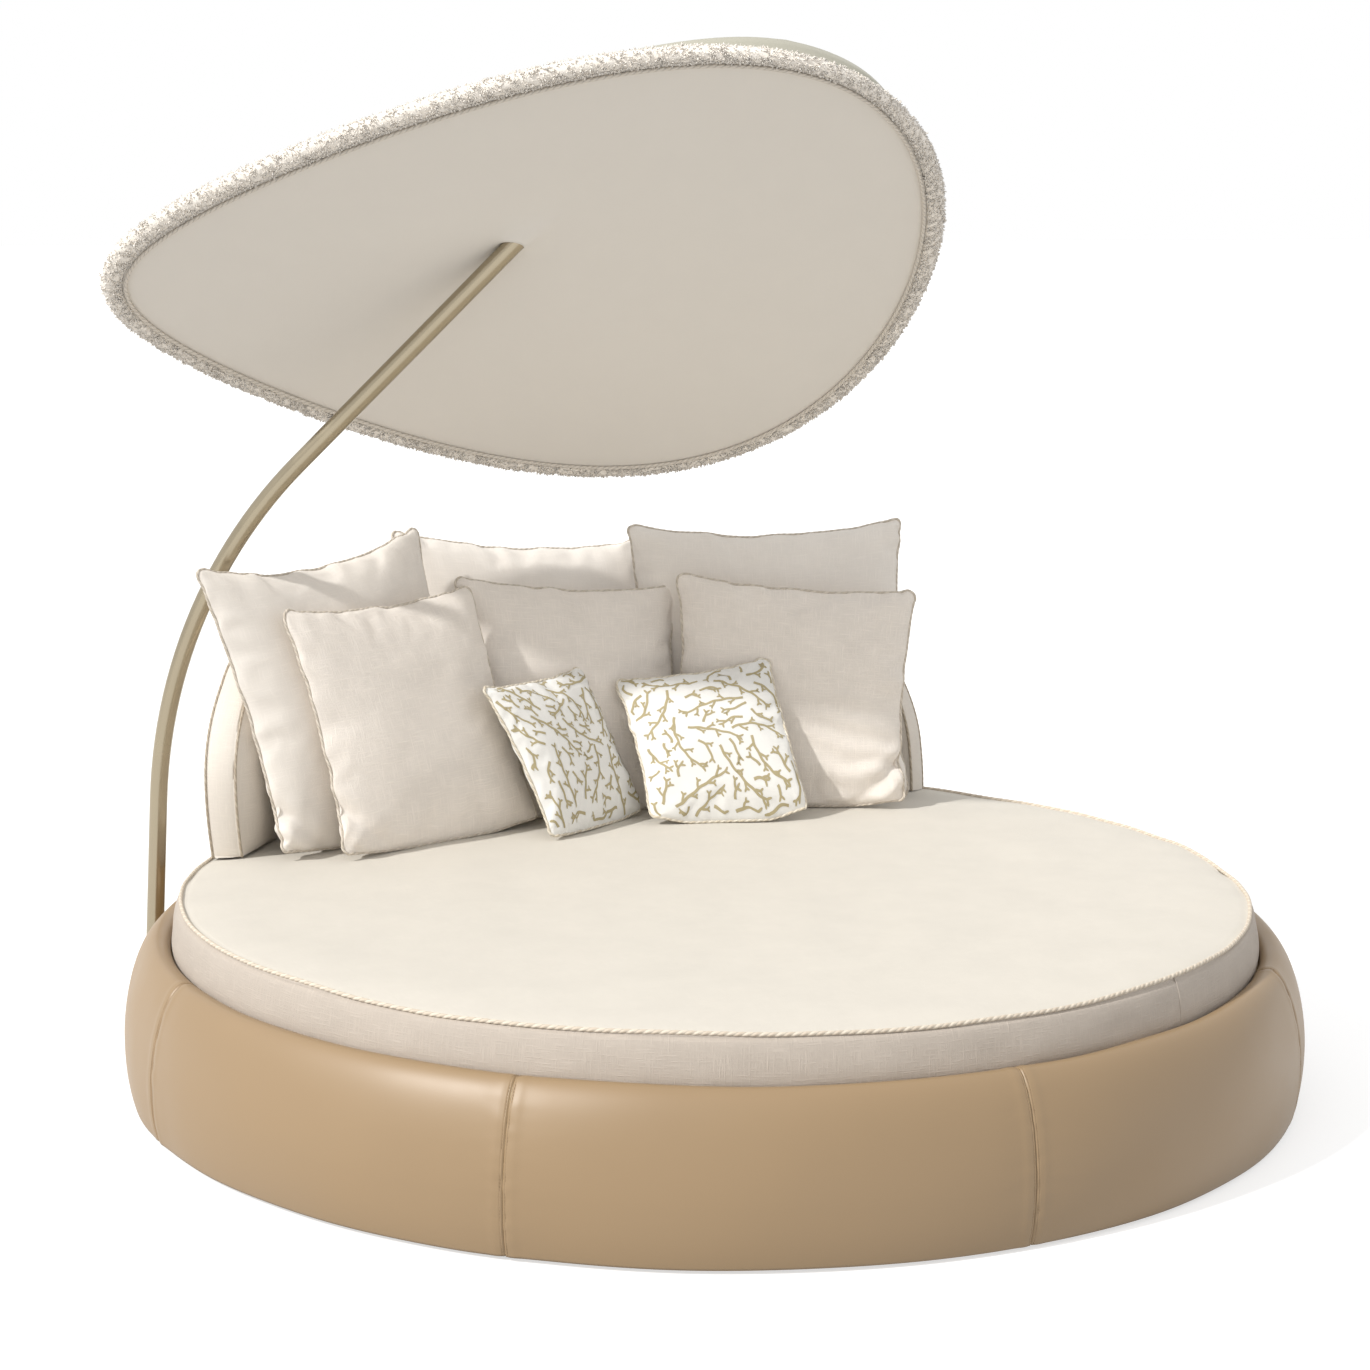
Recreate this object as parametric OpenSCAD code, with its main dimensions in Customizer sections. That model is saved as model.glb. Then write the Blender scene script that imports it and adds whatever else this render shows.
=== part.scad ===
// Round outdoor daybed. An upholstered ring stands on glides and holds a round mattress.
// A curved backrest and eight loose pillows stand on the mattress. A leaf-shaped sun canopy
// hangs on a bent mast, which swivels in a socket behind the ring.
// Frame: origin on the floor at the centre of the ring, +Z up, +Y towards the backrest.

/* [Ring] */
// Widest diameter of the upholstered ring
ring_d = 2402; // [2200:2:2700]
// Height of the crest of the ring
ring_h = 313; // [300:1:360]
// Height of the widest line of the ring
ring_wide_z = 118; // [90:1:150]
// How far the foot of the ring draws in from its widest line
ring_foot_in = 14; // [4:1:30]
// Width of the ring, from its widest line in to the opening for the mattress
ring_w = 96.5; // [85:0.5:115]
// Width of the roll that falls from the crest in to the opening
ring_roll_w = 28; // [20:1:36]
// How far the roll falls from the crest to the opening
ring_roll_drop = 18; // [12:1:20]
// Thickness of the leather
leather_t = 3; // [2:0.5:4]
// Width of the seam groove between two leather panels
seam_w = 0.6; // [0.4:0.1:2]

/* [Base frame] */
// Height of the floor glides
glide_h = 8; // [7:0.5:12]
// Diameter of a floor glide
glide_d = 36; // [20:1:40]
// Diameter of the foot under the centre post
centre_foot_d = 90; // [70:1:140]
// Width of the steel hoops, posts and beams
bar_w = 40; // [30:1:50]
// Height of the lower hoop
hoop_low_h = 25; // [20:1:40]
// Height of the upper hoop and of the deck beams
beam_h = 40; // [25:1:50]
// Wall of the steel hoops and beams
bar_wall = 2; // [1.5:0.5:3]
// Diameter of the centre post
post_d = 60; // [40:1:68]
// Thickness of the curved rim wall
rim_wall_t = 12; // [9:1:18]
// How far the rim wall stops below the top of the ring
rim_wall_drop = 30; // [24:1:36]
// Thickness of the deck boards
deck_t = 18; // [12:1:24]
// Depth of the recess that the mattress sinks into
recess_h = 33; // [27:1:45]

/* [Mattress] */
// Distance from the opening of the ring in to the upper piping of the mattress
mattress_in = 22.5; // [18:0.5:40]
// Height of the mattress at its middle
mattress_h = 120; // [100:1:160]
// How much the top of the mattress rises from its piping to the middle
mattress_crown = 8; // [4:1:14]
// Thickness of the mattress cover with its wadding
cover_t = 10; // [8:1:14]
// Diameter of the piping cord
piping_d = 10; // [8:1:14]

/* [Backrest] */
// Height of the backrest above the mattress
backrest_h = 450; // [350:5:520]
// Thickness of the backrest
backrest_t = 80; // [60:1:90]
// Distance from the upper piping of the mattress in to the backrest
backrest_in = 1; // [0:0.5:12]
// Angle that the backrest spans
backrest_span = 107; // [90:1:110]
// Radius of the two upper corners of the backrest
backrest_corner_r = 270; // [200:5:300]

/* [Pillows] */
// Side of a back pillow
pillow_l_side = 630; // [600:1:640]
// Side of a middle pillow
pillow_m_side = 515; // [480:1:524]
// Side of a small pillow
pillow_s_side = 350; // [320:1:360]
// Thickness of a back pillow
pillow_l_t = 120; // [92:1:122]
// Thickness of a middle pillow
pillow_m_t = 100; // [76:1:102]
// Thickness of a small pillow
pillow_s_t = 80; // [60:1:82]

/* [Mast] */
// Diameter of the mast tube
mast_d = 38; // [34:0.5:42]
// Wall of the mast tube
mast_wall = 2.5; // [2:0.25:4]
// Distance from the widest line of the ring out to the mast foot
mast_out = 59; // [50:1:80]
// Lean of the lower mast towards the centre, in degrees
mast_lean = 2.9; // [0:0.1:4]
// Length of the straight lower part of the mast, from the floor
mast_low_l = 492; // [440:1:560]
// Radius of the bend in the mast
mast_bend_r = 1100; // [900:5:1250]
// Angle of the bend in the mast, in degrees
mast_bend = 42.9; // [38:0.1:46]
// Length of the straight upper part, up to the plane of the canopy
mast_high_l = 672; // [600:1:760]

/* [Socket] */
// Outer diameter of the socket tube
socket_d = 54; // [52:0.5:56]
// Length of the socket tube along the mast
socket_l = 150; // [130:1:160]
// Thickness of the foot plate
foot_plate_t = 6; // [4:0.5:6.5]
// Width of the foot plate
foot_plate_w = 120; // [110:1:150]
// Length of the foot plate beyond the mast foot
foot_plate_out = 28; // [26:1:60]
// Diameter of the clamp collar
collar_d = 74; // [68:1:80]
// Diameter of the clamp knob
knob_d = 50; // [40:1:60]
// Direction of the clamp knob round the mast, from straight out, in degrees
knob_turn = -70; // [-90:5:0]

/* [Canopy] */
// Length of the canopy frame from the tip to the round end
canopy_l = 1648; // [1500:1:1800]
// Width of the canopy frame
canopy_w = 1370; // [1250:1:1500]
// Rise of the canopy skin above its rim
canopy_rise = 110; // [100:1:150]
// Width of the fringe round the canopy
fringe_w = 45; // [30:1:60]
// Height of the canopy rim
rim_h = 22; // [18:0.5:30]
// Thickness of the canopy rim
rim_t = 12; // [8:0.5:16]
// Heading of the long axis of the canopy, in degrees
canopy_heading = -14; // [-20:0.5:-8]
// Tilt of the canopy towards the back, in degrees
canopy_tilt = 39.5; // [35:0.5:44]
// Thickness of the skin and of the lining
skin_t = 2; // [1.5:0.25:3]

/* [Hidden] */
// Clearances, overruns and resolution
seat_gap = 0.3;
slide_gap = 0.15;
soft_gap = 0.35;
piping_gap = 0.5;
cut_over = 1;
$fn = 96;

// Ring of leather panels: a roll inside the crest, a rounded shoulder and a foot that draws in
panel_n = 8;
panel_angle = 360 / panel_n;
ring_r = ring_d / 2;
ring_open_r = ring_r - ring_w;
ring_crest_r = ring_open_r + ring_roll_w;
ring_shape_shares = [1.73, 2.47];
roll_steps = 5;
ring_steps = 14;
foot_steps = 4;
seam_angle = seam_w / ring_r * 180 / PI;
deck_top = ring_h - recess_h;
tuck_z = deck_top + piping_d / 3;

// Outer line of the ring, drawn in by the given inset, from the opening down to the foot
function ring_curve(inset) = concat(
    [for (i = [0:roll_steps - 1])
        let (a = 90 * i / roll_steps)
        [ring_crest_r - (ring_roll_w - inset) * cos(a),
         ring_h - ring_roll_drop + (ring_roll_drop - inset) * sin(a)]],
    [for (i = [0:ring_steps])
        let (a = 90 - 90 * i / ring_steps)
        [ring_crest_r
            + (ring_r - ring_crest_r - inset) * pow(max(0, cos(a)), 2 / ring_shape_shares[0]),
         ring_wide_z + (ring_h - ring_wide_z - inset) * pow(sin(a), 2 / ring_shape_shares[0])]],
    [for (i = [1:foot_steps])
        let (t = i / foot_steps)
        [ring_r - inset - ring_foot_in * pow(t, ring_shape_shares[1]),
         ring_wide_z - t * (ring_wide_z - glide_h - inset)]]);

function reversed(list) = [for (i = [len(list) - 1:-1:0]) list[i]];

// Base frame: hoops, posts and beams inside the rim wall
wall_in_r = ring_open_r + leather_t;
wall_out_r = wall_in_r + rim_wall_t;
wall_top_z = ring_h - rim_wall_drop;
hoop_out_r = wall_in_r - seat_gap;
hoop_in_r = hoop_out_r - bar_w;
hoop_mid_r = hoop_out_r - bar_w / 2;
deck_low_z = deck_top - deck_t;
beam_low_z = deck_low_z - beam_h;
beam_n = 4;
glide_turn = panel_angle / 2;

// Mattress outline
pipe_r = ring_open_r - mattress_in;
bulge_r = ring_open_r - soft_gap;
seat_z = deck_top + mattress_h;
edge_z = seat_z - mattress_crown;
bulge_share = 0.29;
mattress_shape_shares = [1.7, 0.35];
flat_share = 0.9;
side_steps = 10;
crown_steps = 5;
mattress_low_r = bulge_r - mattress_shape_shares[1] * (bulge_r - pipe_r);

function side_share(t) = t < bulge_share
    ? 1 - mattress_shape_shares[1] * pow((bulge_share - t) / bulge_share, 2)
    : pow(max(0, 1 - pow((t - bulge_share) / (1 - bulge_share), mattress_shape_shares[0])),
        1 / mattress_shape_shares[0]);

// Half section of the mattress, drawn in by the given inset
function mattress_section(inset) = concat(
    [[0, deck_top + inset]],
    [for (i = [0:side_steps])
        let (t = i / side_steps)
        [pipe_r + (bulge_r - pipe_r) * side_share(t) - inset,
         deck_top + inset + t * (edge_z - deck_top - 2 * inset)]],
    [for (i = [1:crown_steps])
        let (t = i / crown_steps)
        [(pipe_r - inset) * (1 - t * (1 - flat_share)),
         edge_z - inset + mattress_crown * (1 - pow(1 - t, 2))]],
    [[0, seat_z - inset]]);

// Backrest: a rounded section swept along the arc
backrest_r = pipe_r - backrest_in;
backrest_mid_r = backrest_r - backrest_t / 2;
backrest_half_l = backrest_span / 2 * PI / 180 * backrest_mid_r;
backrest_stations = 40;
backrest_ring_n = 20;
backrest_round_shares = [4.5, 0.78];
rest_z = seat_z + seat_gap;

// Height of the mattress top at a distance from the centre
function seat_at(r) = edge_z + mattress_crown
    * (1 - pow(max(0, (r / pipe_r - flat_share) / (1 - flat_share)), 2));
function super(c, e) = sign(c) * pow(abs(c), 2 / e);
function backrest_top(s) = let (d = abs(s) - (backrest_half_l - backrest_corner_r))
    d <= 0 ? backrest_h
        : backrest_h - backrest_corner_r + sqrt(max(0, pow(backrest_corner_r, 2) - pow(d, 2)));
function backrest_point(i, j) =
    let (q = -cos(180 * i / backrest_stations),
         s = backrest_half_l * q,
         az = 90 - s / backrest_mid_r * 180 / PI,
         end = pow(max(0, 1 - pow(abs(q), 24)), 1 / 3),
         a = 360 * j / backrest_ring_n,
         w = backrest_t / 2
             * (backrest_round_shares[1] + (1 - backrest_round_shares[1]) * end),
         h = backrest_top(s),
         x = w * super(cos(a), backrest_round_shares[0]),
         y = h / 2 + h / 2 * super(sin(a), backrest_round_shares[0]),
         r = backrest_mid_r + x)
    [r * cos(az), r * sin(az), max(edge_z + y, seat_at(r)) + 2 * seat_gap];

// Pillows: side, thickness, and where the middle stands
// Each row is distance in front of what stands behind as a share of the thickness, distance
// to the right along the arc as a share of the side, turn, lean and roll
pillow_place_shares = [
    [1.045, -0.906, -15, 15.5, 4],
    [0.925, -0.044, 1.5, 18.5, -3.5],
    [1.05, 0.868, 9.5, 11.5, 2.5],
    [1.565, -0.902, -24.5, 14.5, 5],
    [1.315, 0.049, -2, 18, -4.5],
    [1.2, 1.057, 12, 9, -2],
    [2.49, -0.213, 18, 25.5, 4],
    [2.28, 0.79, 4, 28.5, 9.5]];
pillow_kinds = [0, 0, 0, 1, 1, 1, 2, 2];
pillow_sides = [pillow_l_side, pillow_m_side, pillow_s_side];
pillow_ts = [pillow_l_t, pillow_m_t, pillow_s_t];
pillow_behind = [0, pillow_ts[0], pillow_ts[0] + pillow_ts[1]];
pillow_steps = 10;
pillow_pull_share = 0.045;
pillow_fill_shares = [2.6, 0.55];
pillow_sink = 2;

function unit_grid(i) = sin(90 * (2 * i / pillow_steps - 1));
function fill(u, v) = pow(max(0, (1 - pow(abs(u), pillow_fill_shares[0]))
    * (1 - pow(abs(v), pillow_fill_shares[0]))), pillow_fill_shares[1]);

// One point of a pillow: its side is +1 on the front, -1 on the back
function pillow_point(k, i, j, side) =
    let (kind = pillow_kinds[k],
         p = pillow_place_shares[k],
         half = pillow_sides[kind] / 2,
         r = backrest_r - backrest_t - pillow_behind[kind] - p[0] * pillow_ts[kind],
         bearing = 90 - p[1] * pillow_sides[kind] / r * 180 / PI,
         heading = bearing - 180 + p[2],
         u = unit_grid(i),
         v = unit_grid(j),
         x = half * u * (1 - pillow_pull_share * (1 - v * v)),
         y = half * v * (1 - pillow_pull_share * (1 - u * u)),
         w = side * pillow_ts[kind] / 2 * fill(u, v),
         face = [cos(heading), sin(heading), 0],
         across = [-sin(heading), cos(heading), 0],
         rise = [-sin(p[3]) * face[0], -sin(p[3]) * face[1], cos(p[3])],
         a = cos(p[4]) * across + sin(p[4]) * rise,
         b = cos(p[4]) * rise - sin(p[4]) * across,
         n = cross(a, b),
         low = half * (abs(a[2]) + abs(b[2])),
         middle = [r * cos(bearing), r * sin(bearing), seat_z - pillow_sink + low],
         q = middle + x * a + y * b + w * n)
    [q[0], q[1], max(q[2], rest_z)];

// Mast: direction of its upper part, and the canopy frame of reference
mast_az = 138.35;
mast_foot_r = ring_r + mast_out;
mast_slope = mast_lean + mast_bend;
mast_fn = 48;
mast_tip_l = 190;
joint_gap = 0.1;
spigot_l = 80;
spigot_step = 3;
canopy_n = 60;
canopy_shape_shares = [0.355, 1.26];
canopy_foot_shares = [0.475, 0.104];
mast_dir = [-sin(mast_slope) * cos(mast_az), -sin(mast_slope) * sin(mast_az), cos(mast_slope)];
canopy_u = [cos(canopy_heading), sin(canopy_heading), 0];
canopy_v = [-sin(canopy_heading) * cos(canopy_tilt),
            cos(canopy_heading) * cos(canopy_tilt), -sin(canopy_tilt)];
mast_in_canopy = [mast_dir * canopy_u, mast_dir * canopy_v, mast_dir * cross(canopy_u, canopy_v)];

function canopy_wide(t) = sin(t)
    * pow((1 - canopy_shape_shares[0] * cos(t)) / (1 + canopy_shape_shares[0]),
        canopy_shape_shares[1]);
canopy_wide_max = max([for (i = [0:2:180]) canopy_wide(i)]);
function canopy_line(t) = [
    canopy_l * ((1 - cos(t)) / 2 - canopy_foot_shares[0]),
    canopy_w * (canopy_wide(t) / canopy_wide_max / 2 + canopy_foot_shares[1])];
function canopy_normal(t) = let (d = canopy_line(t + 1) - canopy_line(t - 1))
    [-d[1], d[0]] / norm(d);
function canopy_loop(out) = [for (i = [0:canopy_n - 1])
    let (t = 360 * i / canopy_n) canopy_line(t) + out * canopy_normal(t)];

// Hub of the canopy, above the lining
hub_at = 150;
hub_c = [mast_in_canopy[0] * hub_at, mast_in_canopy[1] * hub_at];
hub_d = 150;
hub_t = 18;
hub_column_d = 46;
sleeve_wall = 6;
sleeve_from = 98;
sleeve_to = 205;
sleeve_d = mast_d + 2 * sleeve_wall;

// Height of the skin above the plane of the rim, at a share of the way out from the hub
dome_shares = [0, 0.25, 0.45, 0.62, 0.76, 0.88, 0.965, 1];
dome_power = 2.8;
dome_flat_share = 0.965;
lining_rise = 5;
function dome_z(q) = rim_h + seat_gap + canopy_rise * (1 - pow(q, dome_power));
function lining_z(q) = -seat_gap - skin_t
    + lining_rise * (1 - pow(min(1, q / dome_flat_share), dome_power));

// Ribs of the canopy
rib_w = 8;
rib_h = 14;
rib_drop = 4;
rib_end_gap = 0.9;
rib_stations = [0, 10, 20, 30, 40, 50];
hub_top = dome_z(0) - rib_drop;
hub_low = hub_top - hub_t;

// Clamp: collar round the socket, and a knob whose screw reaches the mast
collar_z = 78;
collar_h = 36;
boss_d = 30;
boss_l = 22;
screw_d = 10;
knob_t = 20;
knob_lobes = 6;
knob_stem = 6;
bush_wall = 3;
bush_l = 32;
bush_low_z = 22;
thrust_t = 4;
thrust_z = 14;
plate_in_r = hoop_in_r - bar_w / 2;
foot_plate_l = mast_foot_r - plate_in_r + foot_plate_out;
plate_screw_d = 8;
plate_screw_head_d = 15;
plate_screw_l = 20;
pad_d = 30;
pad_t = glide_h - foot_plate_t;

// Helpers

// Copies of the children every given angle round the centre
module around(n, first = 0) {
    for (i = [0:n - 1]) rotate([0, 0, first + 360 * i / n]) children();
}

// A straight tube along +Z
module tube(outer_d, inner_d, l) {
    difference() {
        cylinder(d = outer_d, h = l, $fn = mast_fn);
        translate([0, 0, -cut_over]) cylinder(d = inner_d, h = l + 2 * cut_over, $fn = mast_fn);
    }
}

// The mast's own frame: +Z along its lower part, from the floor up, -X towards the centre
module mast_place() {
    rotate([0, 0, mast_az]) translate([mast_foot_r, 0, 0]) rotate([0, -mast_lean, 0]) children();
}

// The upper part's own frame: origin where it meets the plane of the canopy, +Z along the tube
module mast_top_place() {
    mast_place() translate([-mast_bend_r, 0, mast_low_l]) rotate([0, -mast_bend, 0])
        translate([mast_bend_r, 0, mast_high_l]) children();
}

// The canopy's own frame: +X to its round end, +Y down towards the back, +Z out of its skin
module canopy_place() {
    mast_top_place() rotate([0, mast_slope, 0]) rotate([0, 0, canopy_heading - mast_az])
        rotate([-canopy_tilt, 0, 0]) children();
}

// A closed band swept round the canopy: each row of the section is distance out and height
module canopy_band(section) {
    m = len(section);
    points = [for (s = section) each [for (p = canopy_loop(s[0])) [p[0], p[1], s[1]]]];
    faces = [for (j = [0:m - 1], i = [0:canopy_n - 1])
        let (a = j * canopy_n + i,
             b = j * canopy_n + (i + 1) % canopy_n,
             c = ((j + 1) % m) * canopy_n + i,
             d = ((j + 1) % m) * canopy_n + (i + 1) % canopy_n)
        each [[a, b, d], [a, d, c]]];
    canopy_place() polyhedron(points = points, faces = faces);
}

// A sheet over the canopy: its two faces stand at the heights of the given rows
module canopy_sheet(low, high) {
    loop = canopy_loop(0);
    n = len(dome_shares);
    function layer(z) = concat([[hub_c[0], hub_c[1], z[0]]],
        [for (j = [1:n - 1]) each [for (p = loop)
            let (q = hub_c + dome_shares[j] * (p - hub_c)) [q[0], q[1], z[j]]]]);
    points = concat(layer(high), layer(low));
    side = 1 + (n - 1) * canopy_n;
    function at(base, j, i) = base + (j == 0 ? 0 : 1 + (j - 1) * canopy_n + i % canopy_n);
    top = [for (j = [1:n - 1], i = [0:canopy_n - 1]) each (j == 1
        ? [[at(0, 0, 0), at(0, 1, i), at(0, 1, i + 1)]]
        : [[at(0, j - 1, i), at(0, j, i), at(0, j - 1, i + 1)],
           [at(0, j - 1, i + 1), at(0, j, i), at(0, j, i + 1)]])];
    bottom = [for (f = top) [f[0] + side, f[2] + side, f[1] + side]];
    edge = [for (i = [0:canopy_n - 1]) each [
        [at(0, n - 1, i), at(side, n - 1, i), at(0, n - 1, i + 1)],
        [at(0, n - 1, i + 1), at(side, n - 1, i), at(side, n - 1, i + 1)]]];
    polyhedron(points = points, faces = concat(top, bottom, edge));
}

// Base

module floor_glides() {
    color("black") around(panel_n, glide_turn) translate([hoop_mid_r, 0, 0])
        cylinder(d = glide_d, h = glide_h, $fn = mast_fn);
}

module centre_foot() {
    color("black") cylinder(d = centre_foot_d, h = glide_h);
}

module hoop(low, h) {
    rotate_extrude() difference() {
        translate([hoop_in_r, low]) square([bar_w, h]);
        translate([hoop_in_r + bar_wall, low + bar_wall])
            square([bar_w - 2 * bar_wall, h - 2 * bar_wall]);
    }
}

module lower_hoop() {
    color("dimgray") hoop(glide_h, hoop_low_h);
}

module upper_hoop() {
    color("dimgray") hoop(beam_low_z, beam_h);
}

module hoop_posts() {
    post_w = bar_w - 2 * bar_wall;
    color("dimgray") around(panel_n, glide_turn)
        translate([hoop_mid_r, 0, glide_h + hoop_low_h])
        linear_extrude(beam_low_z - glide_h - hoop_low_h) difference() {
            square([post_w, post_w], center = true);
            square([post_w - 2 * bar_wall, post_w - 2 * bar_wall], center = true);
        }
}

module deck_beams() {
    color("dimgray") intersection() {
        difference() {
            union() {
                around(beam_n) translate([-hoop_in_r, -bar_w / 2, beam_low_z])
                    cube([hoop_in_r, bar_w, beam_h]);
                translate([0, 0, beam_low_z]) cylinder(d = 2 * post_d, h = beam_h);
            }
            around(beam_n) translate([-hoop_in_r - cut_over, -bar_w / 2 + bar_wall,
                                      beam_low_z + bar_wall])
                cube([hoop_in_r - post_d, bar_w - 2 * bar_wall, beam_h - 2 * bar_wall]);
        }
        translate([0, 0, beam_low_z - cut_over])
            cylinder(r = hoop_in_r - seat_gap, h = beam_h + 2 * cut_over);
    }
}

module centre_post() {
    color("dimgray") translate([0, 0, glide_h])
        tube(post_d, post_d - 2 * bar_wall, beam_low_z - glide_h);
}

module deck_half(side) {
    translate([0, 0, deck_low_z]) rotate([0, 0, side * 90 - 90]) intersection() {
        cylinder(r = hoop_out_r, h = deck_t);
        translate([seat_gap, -hoop_out_r, 0])
            cube([hoop_out_r, 2 * hoop_out_r, deck_t]);
    }
}

module deck_left() {
    color("burlywood") deck_half(-1);
}

module deck_right() {
    color("burlywood") deck_half(1);
}

module rim_wall() {
    low = glide_h + leather_t;
    color("burlywood") rotate_extrude() translate([wall_in_r + slide_gap, low])
        square([rim_wall_t - slide_gap, wall_top_z - low]);
}

module rim_foam() {
    inset = leather_t + seat_gap;
    color("wheat") rotate_extrude() polygon(concat(
        [[wall_out_r + seat_gap, glide_h + inset], [wall_out_r + seat_gap, wall_top_z + seat_gap],
         [ring_open_r + inset, wall_top_z + seat_gap]],
        ring_curve(inset)));
}

module leather_panel(k) {
    color("tan") rotate([0, 0, k * panel_angle + seam_angle / 2])
        rotate_extrude(angle = panel_angle - seam_angle)
        polygon(concat(
            [[ring_open_r, tuck_z]], ring_curve(0), [[wall_in_r, glide_h]],
            [[wall_in_r, glide_h + leather_t]], reversed(ring_curve(leather_t)),
            [[wall_in_r, tuck_z]]));
}

module leather_panel_1() { leather_panel(0); }
module leather_panel_2() { leather_panel(1); }
module leather_panel_3() { leather_panel(2); }
module leather_panel_4() { leather_panel(3); }
module leather_panel_5() { leather_panel(4); }
module leather_panel_6() { leather_panel(5); }
module leather_panel_7() { leather_panel(6); }
module leather_panel_8() { leather_panel(7); }

// Mattress

module piping_line(r, z, d) {
    translate([r, z]) circle(d = d, $fn = mast_fn / 2);
}

module mattress_core() {
    color("ivory") rotate_extrude() polygon(mattress_section(cover_t + seat_gap));
}

module mattress_cover() {
    groove_d = piping_d + 2 * piping_gap;
    color("linen") rotate_extrude() difference() {
        polygon(mattress_section(0));
        polygon(mattress_section(cover_t));
        piping_line(pipe_r, edge_z, groove_d);
        piping_line(mattress_low_r, deck_top + groove_d / 2, groove_d);
    }
}

module mattress_piping_top() {
    color("antiquewhite") rotate_extrude() piping_line(pipe_r, edge_z, piping_d);
}

module mattress_piping_low() {
    color("antiquewhite") rotate_extrude()
        piping_line(mattress_low_r, deck_top + piping_d / 2 + piping_gap, piping_d);
}

// Backrest

module backrest() {
    n = backrest_stations;
    m = backrest_ring_n;
    points = [for (i = [0:n], j = [0:m - 1]) backrest_point(i, j)];
    faces = concat(
        [for (i = [0:n - 1], j = [0:m - 1])
            let (a = i * m + j, b = i * m + (j + 1) % m, c = a + m, d = b + m)
            each [[a, d, b], [a, c, d]]],
        [[for (j = [0:m - 1]) j]],
        [[for (j = [m - 1:-1:0]) n * m + j]]);
    color("linen") polyhedron(points = points, faces = faces);
}

// Pillows

module pillow(k) {
    n = pillow_steps;
    m = n + 1;
    // The front carries all points; the back only those inside the seam
    front = [for (i = [0:n], j = [0:n]) pillow_point(k, i, j, 1)];
    back = [for (i = [1:n - 1], j = [1:n - 1]) pillow_point(k, i, j, -1)];
    function f(i, j) = i * m + j;
    function g(i, j) = i == 0 || j == 0 || i == n || j == n
        ? f(i, j) : m * m + (i - 1) * (n - 1) + j - 1;
    // Each square is cut so that the four corners of the pillow stay closed
    faces = [for (i = [0:n - 1], j = [0:n - 1]) each ((i < n / 2) == (j < n / 2) ? [
        [f(i, j), f(i + 1, j + 1), f(i + 1, j)], [f(i, j), f(i, j + 1), f(i + 1, j + 1)],
        [g(i, j), g(i + 1, j), g(i + 1, j + 1)], [g(i, j), g(i + 1, j + 1), g(i, j + 1)]] : [
        [f(i, j), f(i, j + 1), f(i + 1, j)], [f(i, j + 1), f(i + 1, j + 1), f(i + 1, j)],
        [g(i, j), g(i + 1, j), g(i, j + 1)], [g(i, j + 1), g(i + 1, j), g(i + 1, j + 1)]])];
    polyhedron(points = concat(front, back), faces = faces);
}

module pillow_1() { color("linen") pillow(0); }
module pillow_2() { color("linen") pillow(1); }
module pillow_3() { color("linen") pillow(2); }
module pillow_4() { color("seashell") pillow(3); }
module pillow_5() { color("seashell") pillow(4); }
module pillow_6() { color("seashell") pillow(5); }
module pillow_7() { color("ivory") pillow(6); }
module pillow_8() { color("ivory") pillow(7); }

// Mast foot

module plate_place() {
    rotate([0, 0, mast_az]) translate([plate_in_r, 0, glide_h - foot_plate_t]) children();
}

module plate_screw_spots() {
    for (side = [-1, 1], row = [0, 1])
        translate([bar_w + (row - 0.5) * bar_w / 2, side * foot_plate_w / 4, 0]) children();
}

module foot_plate() {
    corner = foot_plate_w / 5;
    color("dimgray") plate_place() difference() {
        linear_extrude(foot_plate_t) union() {
            translate([0, -foot_plate_w / 2])
                square([foot_plate_l - corner, foot_plate_w]);
            translate([foot_plate_l - corner, -foot_plate_w / 2 + corner])
                square([corner, foot_plate_w - 2 * corner]);
            for (side = [-1, 1])
                translate([foot_plate_l - corner, side * (foot_plate_w / 2 - corner)])
                circle(r = corner, $fn = mast_fn);
        }
        plate_screw_spots() {
            translate([0, 0, -cut_over])
                cylinder(d = plate_screw_d + 2 * seat_gap, h = foot_plate_t + 2 * cut_over,
                    $fn = mast_fn / 2);
            translate([0, 0, -cut_over])
                cylinder(d = plate_screw_head_d + 2 * seat_gap, h = foot_plate_t / 2 + cut_over,
                    $fn = mast_fn / 2);
        }
    }
}

module plate_pads() {
    corner = foot_plate_w / 5;
    color("black") plate_place() for (side = [-1, 1])
        translate([foot_plate_l - corner, side * (foot_plate_w / 2 - corner), -pad_t])
        cylinder(d = pad_d, h = pad_t, $fn = mast_fn);
}

module plate_screws() {
    color("silver") plate_place() plate_screw_spots() {
        translate([0, 0, foot_plate_t / 6])
            cylinder(d = plate_screw_head_d, h = foot_plate_t / 3, $fn = mast_fn / 2);
        translate([0, 0, foot_plate_t / 6])
            cylinder(d = plate_screw_d, h = foot_plate_t * 5 / 6, $fn = mast_fn / 2);
    }
}

// The clamp screw's own frame: +X along the screw, from the middle of the mast
module screw_place() {
    rotate([0, 0, knob_turn]) translate([0, 0, collar_z + collar_h / 2]) children();
}

module above_plate() {
    intersection() {
        children();
        rotate([0, 0, mast_az]) translate([mast_foot_r, 0, glide_h])
            cylinder(d = 2 * foot_plate_w, h = 2 * socket_l);
    }
}

module mast_socket() {
    color("dimgray") above_plate() mast_place() difference() {
        cylinder(d = socket_d, h = socket_l, $fn = mast_fn);
        translate([0, 0, -cut_over])
            cylinder(d = mast_d + 2 * bush_wall, h = socket_l + 2 * cut_over, $fn = mast_fn);
        screw_place() rotate([0, 90, 0])
            cylinder(d = screw_d + 2 * seat_gap, h = socket_d, $fn = mast_fn / 2);
    }
}

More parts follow.
